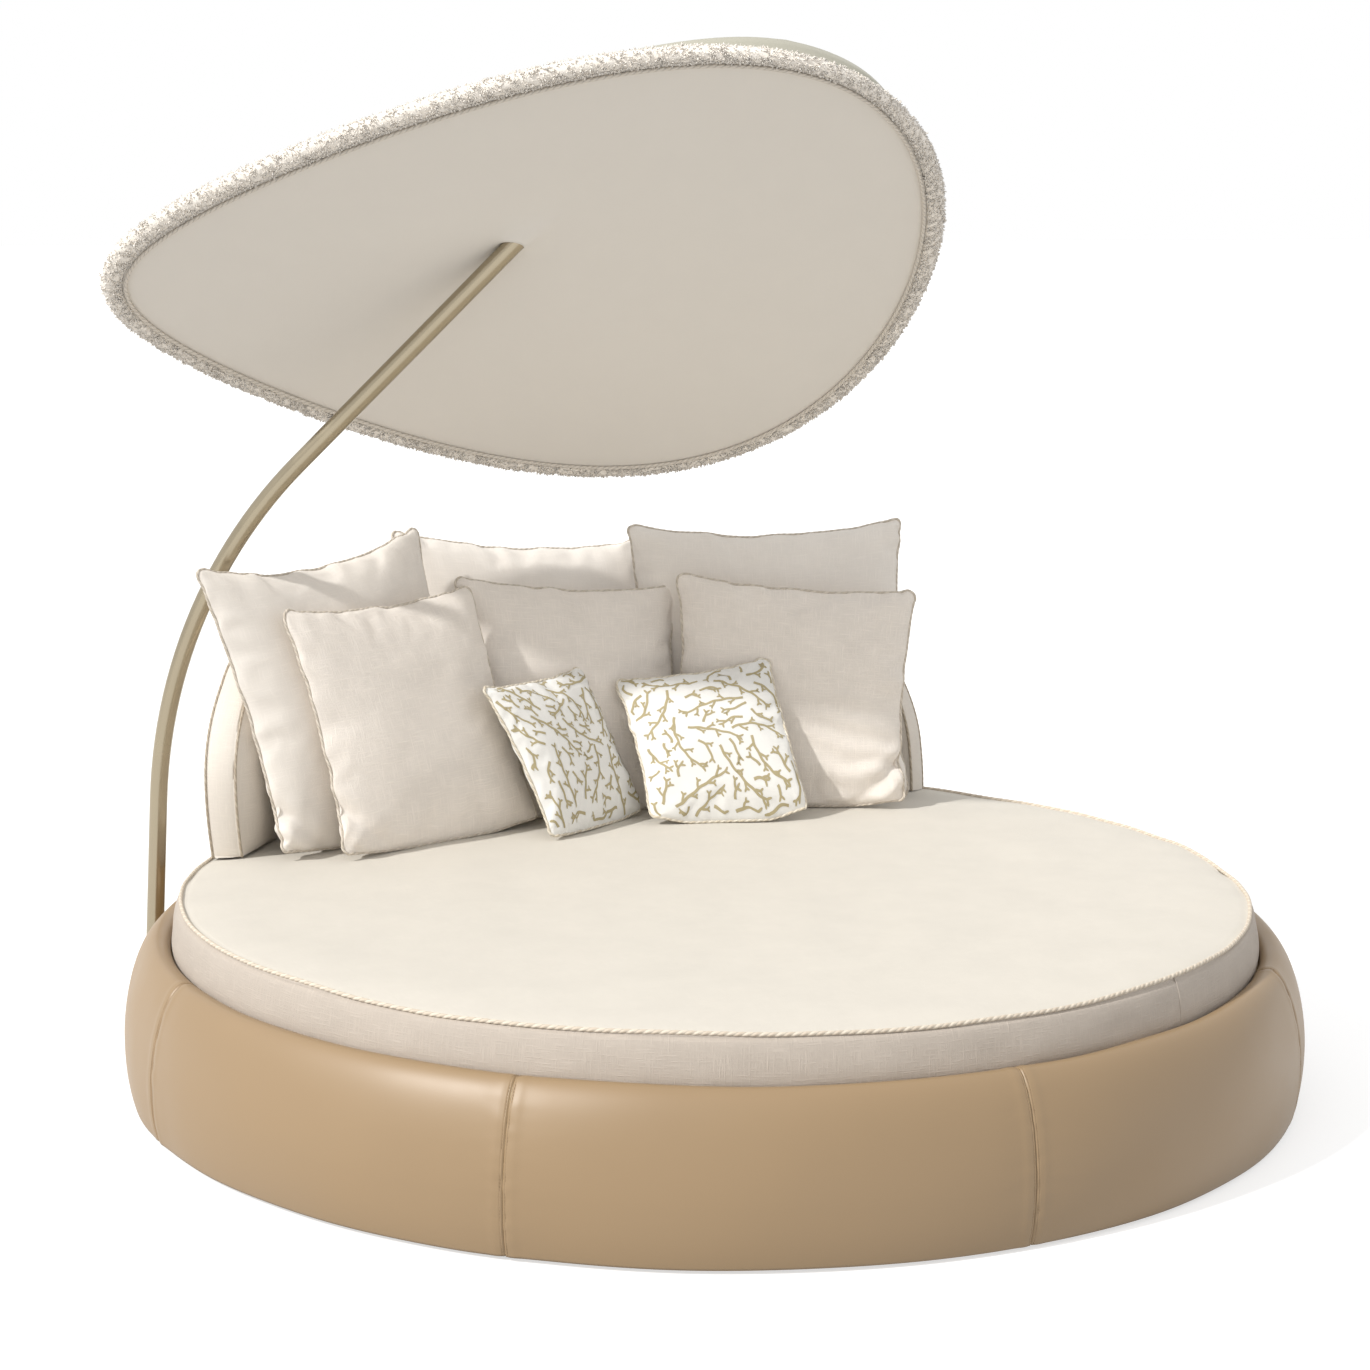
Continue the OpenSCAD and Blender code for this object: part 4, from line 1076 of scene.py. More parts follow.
# How far the plump lower corners stay off the mattress, left and right
CORNER_LIFTS = {0: (0.016, 0.004), 3: (0.010, 0.014), 5: (0.004, 0.016), 6: (0.006, 0.010),
                7: (0.016, 0.024)}
# Lower corners where the cloth has buckled: left (-1) or right (1), and the fold's size
BUCKLED = {0: (-1, 0.013), 3: (-1, 0.010), 5: (1, 0.013), 2: (1, 0.008)}
# The pillow that has level wrinkles down its right half
WRINKLED = 5
# The plain form of a pillow: two powers of its crown, and how far its sides pull in
FILL_POWER, FILL_SHARE, PULL_SHARE = 2.6, 0.55, 0.045
# Filling with air: frames, pressure, spare cloth, and share of the thickness at the start
FILL_FRAMES, FILL_PRESSURE, FILL_SLACK, FILL_START = 26, 5.0, 0.035, 0.45
# The deepest pucker that filling leaves, for each metre of a pillow's side
PUCKER_LIMIT = 0.010 / 0.6
# Soft dents, puckers at the seams, how far these draw the edge in, creases out of the corners,
# and wrinkles
DENT, SEAM_PUCKER, SEAM_DRAW, CORNER_CREASE, WRINKLE = 0.0016, 0.0042, 0.0022, 0.0028, 0.0030
# Folds of a buckled corner: how far up, and how deep beside the first one
BUCKLE_FOLDS = ((0.105, 1.0), (0.062, -0.55), (0.150, -0.35))
# Room for the piping under the lower edge
CORD_ROOM = 0.003

PillowGrid = namedtuple("PillowGrid", "us vs side faces front back")


def pillow_sizes():
    """Sides and thicknesses of the three kinds."""
    p = props("pillows")
    return (p.large, p.middle, p.small), (p.large_t, p.middle_t, p.small_t)


def pillow_grid(cells):
    """Grid shares of a pillow's two faces, which share their edge points, and their quads."""
    n = cells + 1
    crowd = np.pi / 2 * 0.86
    share = np.sin(crowd * np.linspace(-1, 1, n)) / math.sin(crowd)
    u, v = np.meshgrid(share, share, indexing="ij")
    front = np.arange(n * n).reshape(n, n)
    back = front.copy()
    inside = (slice(1, -1), slice(1, -1))
    back[inside] = n * n + np.arange((n - 2) ** 2).reshape(n - 2, n - 2)
    return PillowGrid(
        us=np.concatenate([u.ravel(), u[inside].ravel()]),
        vs=np.concatenate([v.ravel(), v[inside].ravel()]),
        side=np.concatenate([np.ones(n * n), -np.ones((n - 2) ** 2)]),
        faces=np.vstack([quads_over(front), quads_over(back, flip=True)]), front=front, back=back)


def pillow_form(grid, half, thickness):
    """Crowned pillow in its own plane, with rounded corners."""
    us, vs = grid.us, grid.vs
    fill = np.maximum(0, (1 - np.abs(us) ** FILL_POWER) * (1 - np.abs(vs) ** FILL_POWER)) ** FILL_SHARE
    radius = 0.022 + 0.016 * half
    x, y = half * us, half * vs
    dx, dy = (np.maximum(0, np.abs(way) - (half - radius)) for way in (x, y))
    x = x + np.sign(x) * dx * (np.sqrt(1 - dy ** 2 / (2 * radius ** 2)) - 1)
    y = y + np.sign(y) * dy * (np.sqrt(1 - dx ** 2 / (2 * radius ** 2)) - 1)
    x = x * (1 - PULL_SHARE * (1 - vs * vs))
    y = y * (1 - PULL_SHARE * (1 - us * us))
    return np.stack([x, y, grid.side * thickness / 2 * fill], axis=1)


def inflate(points, faces):
    """The points after a short cloth simulation that fills the closed cover with air."""
    mesh = bpy.data.meshes.new("filling")
    mesh.from_pydata(points.tolist(), [], faces.tolist())
    cover = bpy.data.objects.new("filling", mesh)
    scene = bpy.context.scene
    scene.collection.objects.link(cover)
    cloth = cover.modifiers.new("Filling", "CLOTH")
    for name, value in (("quality", 5), ("mass", 0.25), ("tension_stiffness", 18),
                        ("compression_stiffness", 18), ("shear_stiffness", 6),
                        ("bending_stiffness", 0.25), ("air_damping", 2),
                        ("shrink_min", -FILL_SLACK), ("use_pressure", True),
                        ("uniform_pressure_force", FILL_PRESSURE)):
        setattr(cloth.settings, name, value)
    cloth.settings.effector_weights.gravity = 0
    cloth.point_cache.frame_start = 1
    cloth.point_cache.frame_end = FILL_FRAMES
    for number in range(1, FILL_FRAMES + 1):
        scene.frame_set(number)
    seen = cover.evaluated_get(bpy.context.evaluated_depsgraph_get())
    result = np.empty(len(points) * 3)
    seen.data.vertices.foreach_get("co", result)
    scene.frame_set(1)
    bpy.data.objects.remove(cover)
    bpy.data.meshes.remove(mesh)
    return result.reshape(-1, 3)


def blur_face(values, times):
    """Values over one face of a pillow, each drawn towards its neighbours."""
    for _ in range(times):
        padded = np.pad(values, ((1, 1), (1, 1), (0, 0)), mode="edge")
        values = (padded[:-2, 1:-1] + padded[2:, 1:-1] + padded[1:-1, :-2] + padded[1:-1, 2:]
                  + 4 * padded[1:-1, 1:-1]) / 8
    return values


def pillow_frame(k):
    """Axes and middle of a pillow: across, up, out of its face, and its middle."""
    rest = props("backrest")
    sides, thicks = pillow_sizes()
    kind = PILLOW_KINDS[k]
    ahead, along, turn, lean, roll = PILLOW_PLACES[k]
    pipe_r, _, seat_z, _ = mattress_sizes()
    r = pipe_r - rest.inset - rest.thickness - sum(thicks[:kind]) - ahead * thicks[kind]
    bearing = math.pi / 2 - along * sides[kind] / r
    turn, lean, roll = (math.radians(degrees) for degrees in (turn, lean, roll))
    heading = bearing - math.pi + turn
    face = Vector((math.cos(heading), math.sin(heading), 0))
    across = Vector((-math.sin(heading), math.cos(heading), 0))
    rise = Vector((-math.sin(lean) * face.x, -math.sin(lean) * face.y, math.cos(lean)))
    a = math.cos(roll) * across + math.sin(roll) * rise
    b = math.cos(roll) * rise - math.sin(roll) * across
    low = sides[kind] / 2 * (abs(a.z) + abs(b.z))
    middle = Vector((r * math.cos(bearing), r * math.sin(bearing), seat_z - 0.002 + low))
    return np.array(a), np.array(b), np.array(a.cross(b)), np.array(middle)


class DAYBED_OT_pillows(bpy.types.Operator):
    """Fills, wrinkles and places the eight pillows, with piping and a printed twig pattern"""

    bl_idname = "daybed.pillows"
    bl_label = "Pillows"

    def execute(self, context):
        p = props("pillows")
        sides, thicks = pillow_sizes()
        cloths = (linen("back_pillow_linen", tuple(p.back), 850.0, 0.55, 0.10, 0.12, 0.45),
                  linen("middle_pillow_linen", tuple(p.front), 850.0, 0.9, 0.14, 0.22, 0.6),
                  linen("printed_linen", tuple(p.white), 1000.0, 0.2, 0.06, 0.04, 0.3))
        cord = cord_material("pillow_cord", (0.66, 0.595, 0.51), (0.52, 0.455, 0.37), 0.6)
        pale = cord_material("small_pillow_cord", (0.74, 0.68, 0.57), (0.60, 0.52, 0.39), 0.6)
        grid = pillow_grid(PILLOW_CELLS)
        fills = [self.filled(grid, *sizes, seed) for sizes, seed in zip(zip(sides, thicks), (1, 2, 3))]
        for k, kind in enumerate(PILLOW_KINDS):
            half = sides[kind] / 2
            local = pillow_form(grid, half, thicks[kind]) + self.turned(fills[kind], grid, k)
            local = self.slip(self.crumple(local, grid, half, k), grid, k)
            a, b, n, middle = pillow_frame(k)
            points = middle + local[:, :1] * a + local[:, 1:2] * b + local[:, 2:3] * n
            points = self.settle(points, grid, k)
            uv = np.stack([grid.us, grid.vs], axis=1) * half
            uv = uv + (0.7 * k + 0.35 * (grid.side < 0))[:, None] * (1.0, 0.6)
            name = f"pillow_cover_{k + 1}"
            mesh = build_mesh(name, points, grid.faces, uv=uv)
            piece = finish_object(name, mesh, [cloths[kind]], BASE)
            smooth = piece.modifiers.new("Smooth", "SUBSURF")
            smooth.levels = smooth.render_levels = 1
            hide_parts(f"pillow_{k + 1}")
            self.pipe(k, points, grid, n, p.cord, pale if kind == 2 else cord)
            if kind == 2:
                self.twigs(k, points, grid, half, p.ink)
        return {"FINISHED"}

    def filled(self, grid, length, thickness, seed):
        """What filling adds to the plain form: puckers at the seam and folds at the corners."""
        form = pillow_form(grid, length / 2, thickness)
        start = pillow_form(grid, length / 2, thickness * FILL_START)
        start[:, 2] += 0.0015 * ripple(start, 0.07, seed)
        change = inflate(start, grid.faces) - form
        soft = change.copy()
        for index in (grid.back, grid.front):
            soft[index.ravel()] = blur_face(change[index], 40).reshape(-1, 3)
        limit = PUCKER_LIMIT * length
        rim = (1 - np.maximum(np.abs(grid.us), np.abs(grid.vs))) * length / 2
        near = 0.18 + 0.82 * (1 - smooth_step(rim, 0.025, 0.10))
        return limit * np.tanh((change - soft) / limit) * near[:, None]

    def turned(self, detail, grid, k):
        """The filling's detail turned by quarter turns, so that no two pillows match."""
        result = detail.copy()
        for index in (grid.back, grid.front):
            face = detail[index]
            for _ in range(k * 3 % 4):
                face = np.rot90(face, axes=(0, 1))
                face = np.stack([-face[..., 1], face[..., 0], face[..., 2]], axis=-1)
            result[index.ravel()] = face.reshape(-1, 3)
        return result

    def crumple(self, local, grid, half, k):
        """Puckers along the seams, creases out of the corners, and soft dents."""
        local = local.copy()
        us, vs, side = grid.us, grid.vs, grid.side
        spot = np.stack([us, vs], axis=1) * half
        gaps = half * (1 - np.abs(us)), half * (1 - np.abs(vs))
        inner = np.minimum(1, np.minimum(*gaps) / 0.012)
        local[:, 2] += side * inner * DENT * ripple(spot + side[:, None] * 0.37, 0.26, 100 + k)
        for axis, gap in enumerate(gaps):
            where = np.stack([spot[:, 1 - axis], 0.25 * np.sign(spot[:, axis]) + side * 0.1], axis=1)
            folds = ripple(where, 0.050, 140 + 10 * axis + k)
            folds = folds * (0.6 + 0.4 * ripple(where, 0.17, 160 + 10 * axis + k))
            reach = np.exp(-gap / 0.032) * (1 - np.exp(-gap / 0.007))
            local[:, 2] += side * SEAM_PUCKER * folds * reach
            local[:, axis] -= np.sign(spot[:, axis]) * np.exp(-gap / 0.02) * SEAM_DRAW * (1 + folds)
        for corner in ((-1, -1), (-1, 1), (1, -1), (1, 1)):
            away = spot - np.array(corner) * half
            reach = np.linalg.norm(away, axis=1)
            bearing = np.arctan2(away[:, 1], away[:, 0])
            star = np.sin(9 * bearing + k + 2 * corner[0]) * np.exp(-reach / 0.05)
            local[:, 2] += side * inner * CORNER_CREASE * star * smooth_step(reach, 0.01, 0.04)
        local[:, 1] -= TOP_DROPS[k] * (1 - us * us) * np.maximum(0, vs) ** 3
        if k in BUCKLED:
            self.buckle(local, spot, side, half, *BUCKLED[k])
        if k == WRINKLED:
            # Level wrinkles down the right half
            low = smooth_step(us, -0.35, 0.6) * smooth_step(-vs, -0.25, 0.3) * inner
            wave = np.sin((spot[:, 1] + 0.12 * spot[:, 0]) * TURN / 0.062
                          + 1.3 * ripple(spot, 0.20, 210))
            local[:, 2] += side * low * WRINKLE * wave
        return local

    def buckle(self, local, spot, side, half, way, size):
        """A fold across a lower corner, where the standing pillow has given way."""
        across = way * spot[:, 0] - half
        up = spot[:, 1] + half
        for distance, deep in BUCKLE_FOLDS:
            line = (up - distance - 0.85 * across) / 1.31
            local[:, 2] -= side * size * deep * bell(line, 0.011) * np.exp(across / 0.11)
            local[:, 0] -= way * size * 0.8 * deep * bell(line, 0.013) * np.exp(across / 0.05)

    def slip(self, local, grid, k):
        """The pillow drawn out of square where its cloth has slipped."""
        left, right = (1 - grid.us) / 2, (1 + grid.us) / 2
        high, low = (1 + grid.vs) / 2, (1 - grid.vs) / 2
        weights = (left * high, right * high, left * low, right * low)
        for weight, shift in zip(weights, CORNER_SLIPS[k]):
            local = local + weight[:, None] * np.array(shift)
        return local

    def settle(self, points, grid, k):
        """Lets the lower edge down onto the mattress, and keeps the pillow above it."""
        points = points.copy()
        edge = points[grid.front[:, 0]]
        share = grid.us[grid.front[:, 0]]
        left, right = CORNER_LIFTS.get(k, (0, 0))
        lift = left * smooth_step(-share, 0.45, 1) + right * smooth_step(share, 0.45, 1)
        gap = edge[:, 2] - seat_height(np.linalg.norm(edge[:, :2], axis=1)) - CORD_ROOM - lift
        points[:, 2] -= np.interp(grid.us, share, gap) * np.maximum(0, -grid.vs) ** 2.2
        seat = seat_height(np.linalg.norm(points[:, :2], axis=1)) + 0.0004
        points[:, 2] = np.maximum(points[:, 2], seat)
        return points

    def pipe(self, k, points, grid, n, diameter, cord):
        """Piping round the seam."""
        front = grid.front
        edge = np.concatenate([front[:-1, 0], front[-1, :-1], front[:0:-1, -1], front[0, :0:-1]])
        mesh = twisted_cord(f"pillow_cord_{k + 1}", blur_line(points[edge], 2), n, diameter)
        finish_object(f"pillow_cord_{k + 1}", mesh, [cord], BASE)

    def twigs(self, k, points, grid, half, colour):
        """Branching twigs printed on both faces, as slim ribbons just above the cloth."""
        ink = linen("print_ink", tuple(colour), 1000.0, 0.1, 0.06, 0.10, 0.2)
        share = grid.us[grid.front[:, 0]]
        strokes = twig_strokes(half, 7 + k)
        ribbons, faces, start = [], [], 0
        for index, way in ((grid.front, 1), (grid.back, -1)):
            surface = points[index]
            normal = unit(np.cross(np.gradient(surface, axis=0), np.gradient(surface, axis=1))) * way
            lifted = surface + normal * 0.0006
            for spots in strokes:
                i, j = (np.interp(spots[..., axis] / half, share, np.arange(len(share)))
                        for axis in (0, 1))
                ribbons.append(sample_grid(lifted, i, j).reshape(-1, 3))
                faces += (grid_faces(len(spots), 2, flip=way < 0) + start).tolist()
                start += len(ribbons[-1])
        ribbons = np.vstack(ribbons)
        mesh = build_mesh(f"pillow_print_{k + 1}", ribbons, faces, uv=ribbons[:, :2])
        finish_object(f"pillow_print_{k + 1}", mesh, [ink], BASE)


def sample_grid(grid, i, j):
    """Values of a grid at fractional rows and columns."""
    top = np.array(grid.shape[:2]) - 1
    i, j = np.clip(i, 0, top[0] - 1e-6), np.clip(j, 0, top[1] - 1e-6)
    i0, j0 = i.astype(int), j.astype(int)
    fi, fj = (i - i0)[..., None], (j - j0)[..., None]
    low = grid[i0, j0] * (1 - fj) + grid[i0, j0 + 1] * fj
    high = grid[i0 + 1, j0] * (1 - fj) + grid[i0 + 1, j0 + 1] * fj
    return low * (1 - fi) + high * fi


# Length of the stems and how many are tried, from the longest to the shortest
STEM_TRIES = ((0.14, 120), (0.09, 240), (0.055, 500), (0.030, 900))
# Width of a stroke, and the room that it needs on each side
STEM_WIDTH, STEM_ROOM = 0.0058, 0.0112
TWIG_WIDTH, TWIG_ROOM, TWIG_GAP = 0.0052, 0.0082, 0.023
# Forks at the end of a stem and of a twig: length, width and swing
STEM_FORK, TWIG_FORK = (0.014, 0.0050, 0.7), (0.010, 0.0046, 0.75)


def twig_strokes(half, seed):
    """Ribbons of a rambling twig pattern in the plane of a face."""
    draw = np.random.default_rng(seed)
    limit = half * 0.96
    strokes, taken = [], []

    def free(spots, room):
        """Whether no stroke lies within the room round these spots."""
        if not taken:
            return True
        return np.linalg.norm(spots[:, None] - np.array(taken)[None], axis=2).min() > room

    def stroke(start, heading, length, bend, width):
        """A wavering ribbon as (line, headings, ribbon), or None where it leaves the face."""
        count = max(4, int(length / 0.003))
        turn = heading + bend * np.linspace(0, 1, count) + 0.16 * np.sin(
            np.linspace(0, 9 * length / 0.05, count) + draw.uniform(0, TURN))
        steps = length / count * np.stack([np.cos(turn), np.sin(turn)], axis=1)
        line = np.array(start) + np.concatenate([[[0, 0]], np.cumsum(steps, axis=0)[:-1]])
        if np.abs(line).max() > limit:
            return None
        way = unit(np.gradient(line, axis=0))
        side = np.stack([-way[:, 1], way[:, 0]], axis=1)
        share = np.linspace(0, 1, count)
        wide = width * (1 - 0.2 * share) * np.sqrt(np.clip((1.03 - share) / 0.10, 0, 1))
        reach = side * wide[:, None] / 2
        return line, turn, np.stack([line - reach, line + reach], axis=1)

    def fork(end, length, width, swing):
        """The two short tips at the end of a stroke."""
        tips = (stroke(end[0][-2], end[1][-1] + turn, length, 0, width) for turn in (-swing, swing))
        return [tip for tip in tips if tip is not None]

    def sprig(start, heading, length):
        """A stem with forked side twigs, kept only where there is room for it."""
        stem = stroke(start, heading, length, draw.uniform(-1.4, 1.4), STEM_WIDTH)
        if stem is None or not free(stem[0], STEM_ROOM):
            return
        kept = [stem]
        side = 1 if draw.random() < 0.5 else -1
        for at in np.arange(0.020, length - 0.006, TWIG_GAP):
            spot = min(int(at / length * len(stem[0])), len(stem[0]) - 1)
            side = -side
            twig = stroke(stem[0][spot], stem[1][spot] + side * draw.uniform(0.8, 1.1),
                          draw.uniform(0.016, 0.024), -side * 0.4, TWIG_WIDTH)
            if twig is not None and free(twig[0][2:], TWIG_ROOM):
                kept += [twig] + fork(twig, *TWIG_FORK)
        kept += fork(stem, *STEM_FORK)
        for line, _, ribbon in kept:
            strokes.append(ribbon)
            taken.extend(line[::2].tolist())

    for length, tries in STEM_TRIES:
        for _ in range(tries):
            sprig(draw.uniform(-limit, limit, 2), draw.uniform(0, TURN),
                  length * draw.uniform(0.85, 1.15))
    return strokes


# Canopy


# Columns round a sheet, and sewn panels of the skin
SHEET_SPOKES, PANELS = 240, 6
# Rows of a sheet, as shares of the way from its middle to the rim
SHEET_SHARES = np.concatenate([[0, 0.004, 0.01, 0.02, 0.035], np.linspace(0.055, 0.9, 26),
                               [0.925, 0.95, 0.97, 0.985, 0.995, 1]])
# Power of the dome's curve, and the gap between a sheet and the frame
DOME_POWER, SHEET_GAP = 2.8, 0.0003
# How far up the tube's line the hub stands, and the hole in the skin there
HUB_OUT, HUB_HOLE = 0.150, 0.004
# Sag of the skin between its ribs, height of its seams, and its cut against the frame's spans
SKIN_SAG, SKIN_SEAM, SKIN_EASE = 0.006, 0.0012, 1.04
# The skin's edge at the near side: how far it rolls out and up, and how far it curls under
ROLL_OUT, ROLL_UP, ROLL_UNDER = 0.032, 0.020, 0.038
# Bearing and width of the near side in the canopy's own plane, in degrees
NEAR_SIDE, NEAR_WIDTH = -66, 40
# Height of the lining's belly, and the share of the way where it ends
LINING_BELLY, LINING_FLAT = 0.005, 0.965
# Sleeve of the lining round the tube: room, length down the tube, and reach of the draw
SLEEVE_ROOM, SLEEVE_DOWN, SLEEVE_REACH = 0.0006, 0.018, 0.022
# Radius of the welt, and how far inside the rim it lies
WELT_RADIUS, WELT_IN = 0.004, 0.006
# Section of the fringe, out in its widths and up in the rim's heights
FRINGE_SECTION = np.array([[0, -0.2], [0.35, -0.45], [0.75, -0.3], [0.97, 0.1], [1, 0.55],
                           [0.8, 1.0], [0.4, 1.2], [0, 1.1]])
# The band under the tufts and the roots of the tufts: share of that section, and shift
BAND_SHARE, BAND_SHIFT = (0.88, 0.89), (0.012, 0.05)
ROOT_SHARE, ROOT_SHIFT = (0.87, 0.88), (0, 0.05)
# Share of its width that the fringe loses under the rolled edge
NEAR_NARROWING = 0.42
# Tufts in each mesh, and steps round the section of the fringe
TUFTS, QUICK_TUFTS, SKIRT_STEPS = 12500, 2500, 100
# Steps round the section that the tufts of each mesh stand on
TUFT_BELTS = ((3, 50), (46, 98))
# Shortest and longest tuft, and the thinnest and thickest
TUFT_LENGTH, TUFT_WIDTH = (0.0038, 0.0070), (0.0026, 0.0040)


def canopy_matrix(canopy, ring):
    """Place of the canopy's own frame."""

    def turn(by, axis):
        return Matrix.Rotation(by, 4, axis)

    return (turn(canopy.bearing, "Z")
            @ Matrix.Translation((ring.radius + canopy.foot_out, 0, 0)) @ turn(-canopy.lean, "Y")
            @ Matrix.Translation((-canopy.bend_r, 0, canopy.low_l)) @ turn(-canopy.bend, "Y")
            @ Matrix.Translation((canopy.bend_r, 0, canopy.high_l))
            @ turn(canopy.lean + canopy.bend, "Y")
            @ turn(canopy.heading - canopy.bearing, "Z") @ turn(-canopy.tilt, "X"))


def canopy_line(canopy, t):
    """Outline of the canopy frame at an angle from its tip."""
    shape, power, foot_x, foot_y = 0.355, 1.26, 0.475, 0.104

    def wide(a):
        return np.sin(a) * ((1 - shape * np.cos(a)) / (1 + shape)) ** power

    most = wide(np.radians(np.arange(0, 181, 2))).max()
    return np.stack([canopy.length * ((1 - np.cos(t)) / 2 - foot_x),
                     canopy.width * (wide(t) / most / 2 + foot_y)], axis=-1)


def canopy_edge(canopy, count):
    """Outline points and their outward directions."""
    t = TURN * np.arange(count) / count
    d = canopy_line(canopy, t + 0.01) - canopy_line(canopy, t - 0.01)
    return canopy_line(canopy, t), unit(np.stack([-d[:, 1], d[:, 0]], axis=1))


def apply_place(matrix, points):
    """Points moved by a matrix."""
    m = np.array(matrix)
    return points @ m[:3, :3].T + m[:3, 3]


def near_side(out):
    """How far the rolled edge of the skin shows past the fringe, from 0 to 1 round the rim."""
    away = np.degrees(np.arctan2(out[..., 1], out[..., 0])) - NEAR_SIDE
    return np.exp(-np.abs(away / NEAR_WIDTH) ** 3)


def lining_height(canopy, q):
    """Height of the lining at a share of the way out."""
    belly = LINING_BELLY * (1 - np.minimum(1, q / LINING_FLAT) ** DOME_POWER)
    return -SHEET_GAP - canopy.cloth + belly


class DAYBED_OT_canopy(bpy.types.Operator):
    """Builds the skin, the lining, the welt and the fringe of the canopy"""

    bl_idname = "daybed.canopy"
    bl_label = "Canopy"

    def execute(self, context):
        canopy = props("canopy")
        self.place = canopy_matrix(canopy, props("ring"))
        skin = linen("canopy_cloth", tuple(canopy.skin), 1100.0, 0.15, 0.10, 0.06, 0.3)
        lining = linen("lining_cloth", tuple(canopy.lining), 1300.0, 0.05, 0.04, 0.03, 0.15)
        self.sheet(canopy, "canopy_top", "canopy_skin", skin, "canopy_cloth", True)
        self.sheet(canopy, "canopy_underside", "canopy_lining", lining, "lining_cloth", False)
        self.welt(canopy)
        self.fringe(canopy)
        return {"FINISHED"}

    def sheet(self, canopy, name, node, cloth, slot, upper):
        """One sheet of cloth, from the hub or the tube out to the rim."""
        edge, out = canopy_edge(canopy, SHEET_SPOKES)
        slope, bearing = canopy.lean + canopy.bend, canopy.bearing
        tube = Vector((-math.sin(slope) * math.cos(bearing), -math.sin(slope) * math.sin(bearing),
                       math.cos(slope)))
        tube = np.array(self.place.to_3x3().inverted() @ tube)
        hub = tube[:2] * HUB_OUT
        if upper:
            inner = hub + HUB_HOLE * unit(edge - hub)
        else:
            inner, sleeve = self.sleeve(canopy, edge, tube)
        rows = inner[None] + SHEET_SHARES[:, None, None] * (edge - inner)[None]
        reach = np.linalg.norm(edge - hub, axis=1)
        q = np.clip(np.linalg.norm(rows - hub, axis=2) / reach[None], 0, 1)
        flat = rows.reshape(-1, 2)
        if upper:
            low = self.skin_form(canopy, rows, q, reach, out)
        else:
            wave = 0.0012 * ripple(flat, 0.5, 33).reshape(q.shape) * np.sin(np.pi * q)
            low = np.dstack([rows, lining_height(canopy, q) + wave])
            near = np.linalg.norm(rows - rows[:1], axis=2)
            low = low + (sleeve - low[0])[None] * np.exp(-(near / SLEEVE_REACH) ** 1.3)[..., None]
        points = np.vstack([(low + (0, 0, canopy.cloth)).reshape(-1, 3), low.reshape(-1, 3)])
        mesh = build_mesh(name, apply_place(self.place, points), self.sheet_faces(q.shape, upper),
                          uv=np.vstack([flat, flat + 3]))
        piece = finish_object(name, mesh, [cloth], CANOPY)
        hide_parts(node)

    def skin_form(self, canopy, rows, q, reach, out):
        """The skin over its ribs, with sag and seams, and its edge rolled at the near side."""
        turn = np.arange(SHEET_SPOKES) / SHEET_SPOKES * PANELS % 1
        sag = SKIN_SAG * np.sin(np.pi * turn)[None] ** 2 * np.sin(np.pi * q)
        seam = SKIN_SEAM * bell(np.minimum(turn, 1 - turn)[None] * reach[None] * q, 0.006)
        height = canopy.rim + SHEET_GAP + canopy.rise * (1 - q ** DOME_POWER)
        height = height - sag * smooth_step(q, 0.05, 0.4) + seam * smooth_step(q, 0.04, 0.1)
        height = height + 0.0008 * ripple(rows.reshape(-1, 2), 0.25, 31).reshape(q.shape) * (1 - q)
        roll = near_side(out)[None] * smooth_step(q, 0.84, 0.985)
        under = smooth_step(q, 0.975, 1)
        rows = rows + (ROLL_OUT * roll * (1 - 0.45 * under))[..., None] * out[None]
        return np.dstack([rows, height + ROLL_UP * roll - ROLL_UNDER * roll * under])

    def sleeve(self, canopy, edge, tube):
        """Where the lining meets the tube, and the ring where its sleeve round the tube ends."""
        lean, stretch = tube[:2], 1 / tube[2]
        way = lean / np.linalg.norm(lean)
        across = np.array([-way[1], way[0]])
        shift = lean / tube[2] * 0.0027
        aim = edge - shift
        bearing = np.arctan2(aim @ across, aim @ way / stretch)
        ahead, aside = np.cos(bearing)[:, None], np.sin(bearing)[:, None]
        radius = canopy.tube / 2 + SLEEVE_ROOM
        inner = shift + radius * (stretch * ahead * way + aside * across)
        square = np.hstack([ahead * way * tube[2], -ahead * (way @ lean)])
        ring = radius * (square + aside * np.append(across, 0))
        down = radius * 0.35 * ahead * (way @ lean) / tube[2] - SLEEVE_DOWN
        return inner, ring + down * tube

    def sheet_faces(self, shape, upper):
        """Faces of a sheet with thickness, closed at the hub or open round the tube."""
        top = np.arange(shape[0] * shape[1]).reshape(shape)
        top = np.hstack([top, top[:, :1]])
        low = top + shape[0] * shape[1]
        quads = [quads_over(top), quads_over(low, flip=True), quads_over(np.stack([top[-1], low[-1]]))]
        if upper:
            caps = [top[0, :-1][::-1].tolist(), low[0, :-1].tolist()]
            return np.vstack(quads).tolist() + caps
        return np.vstack(quads + [quads_over(np.column_stack([top[0], low[0]]))]).tolist()

    def welt(self, canopy):
        """The pale welt round the lining."""
        pale = cord_material("lining_welt_cord", (0.74, 0.68, 0.60), (0.68, 0.62, 0.53), 0.3)
        edge, out = canopy_edge(canopy, SHEET_SPOKES)
        z = lining_height(canopy, 1.0) - SHEET_GAP - WELT_RADIUS
        line = apply_place(self.place, np.column_stack([edge - WELT_IN * out, np.full(len(edge), z)]))
        normal = self.place.to_3x3() @ Vector((0, 0, 1))
        mesh = twisted_cord("lining_welt", line, normal, 2 * WELT_RADIUS)
        piece = finish_object("lining_welt", mesh, [pale], CANOPY)
        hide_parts("canopy_welt")

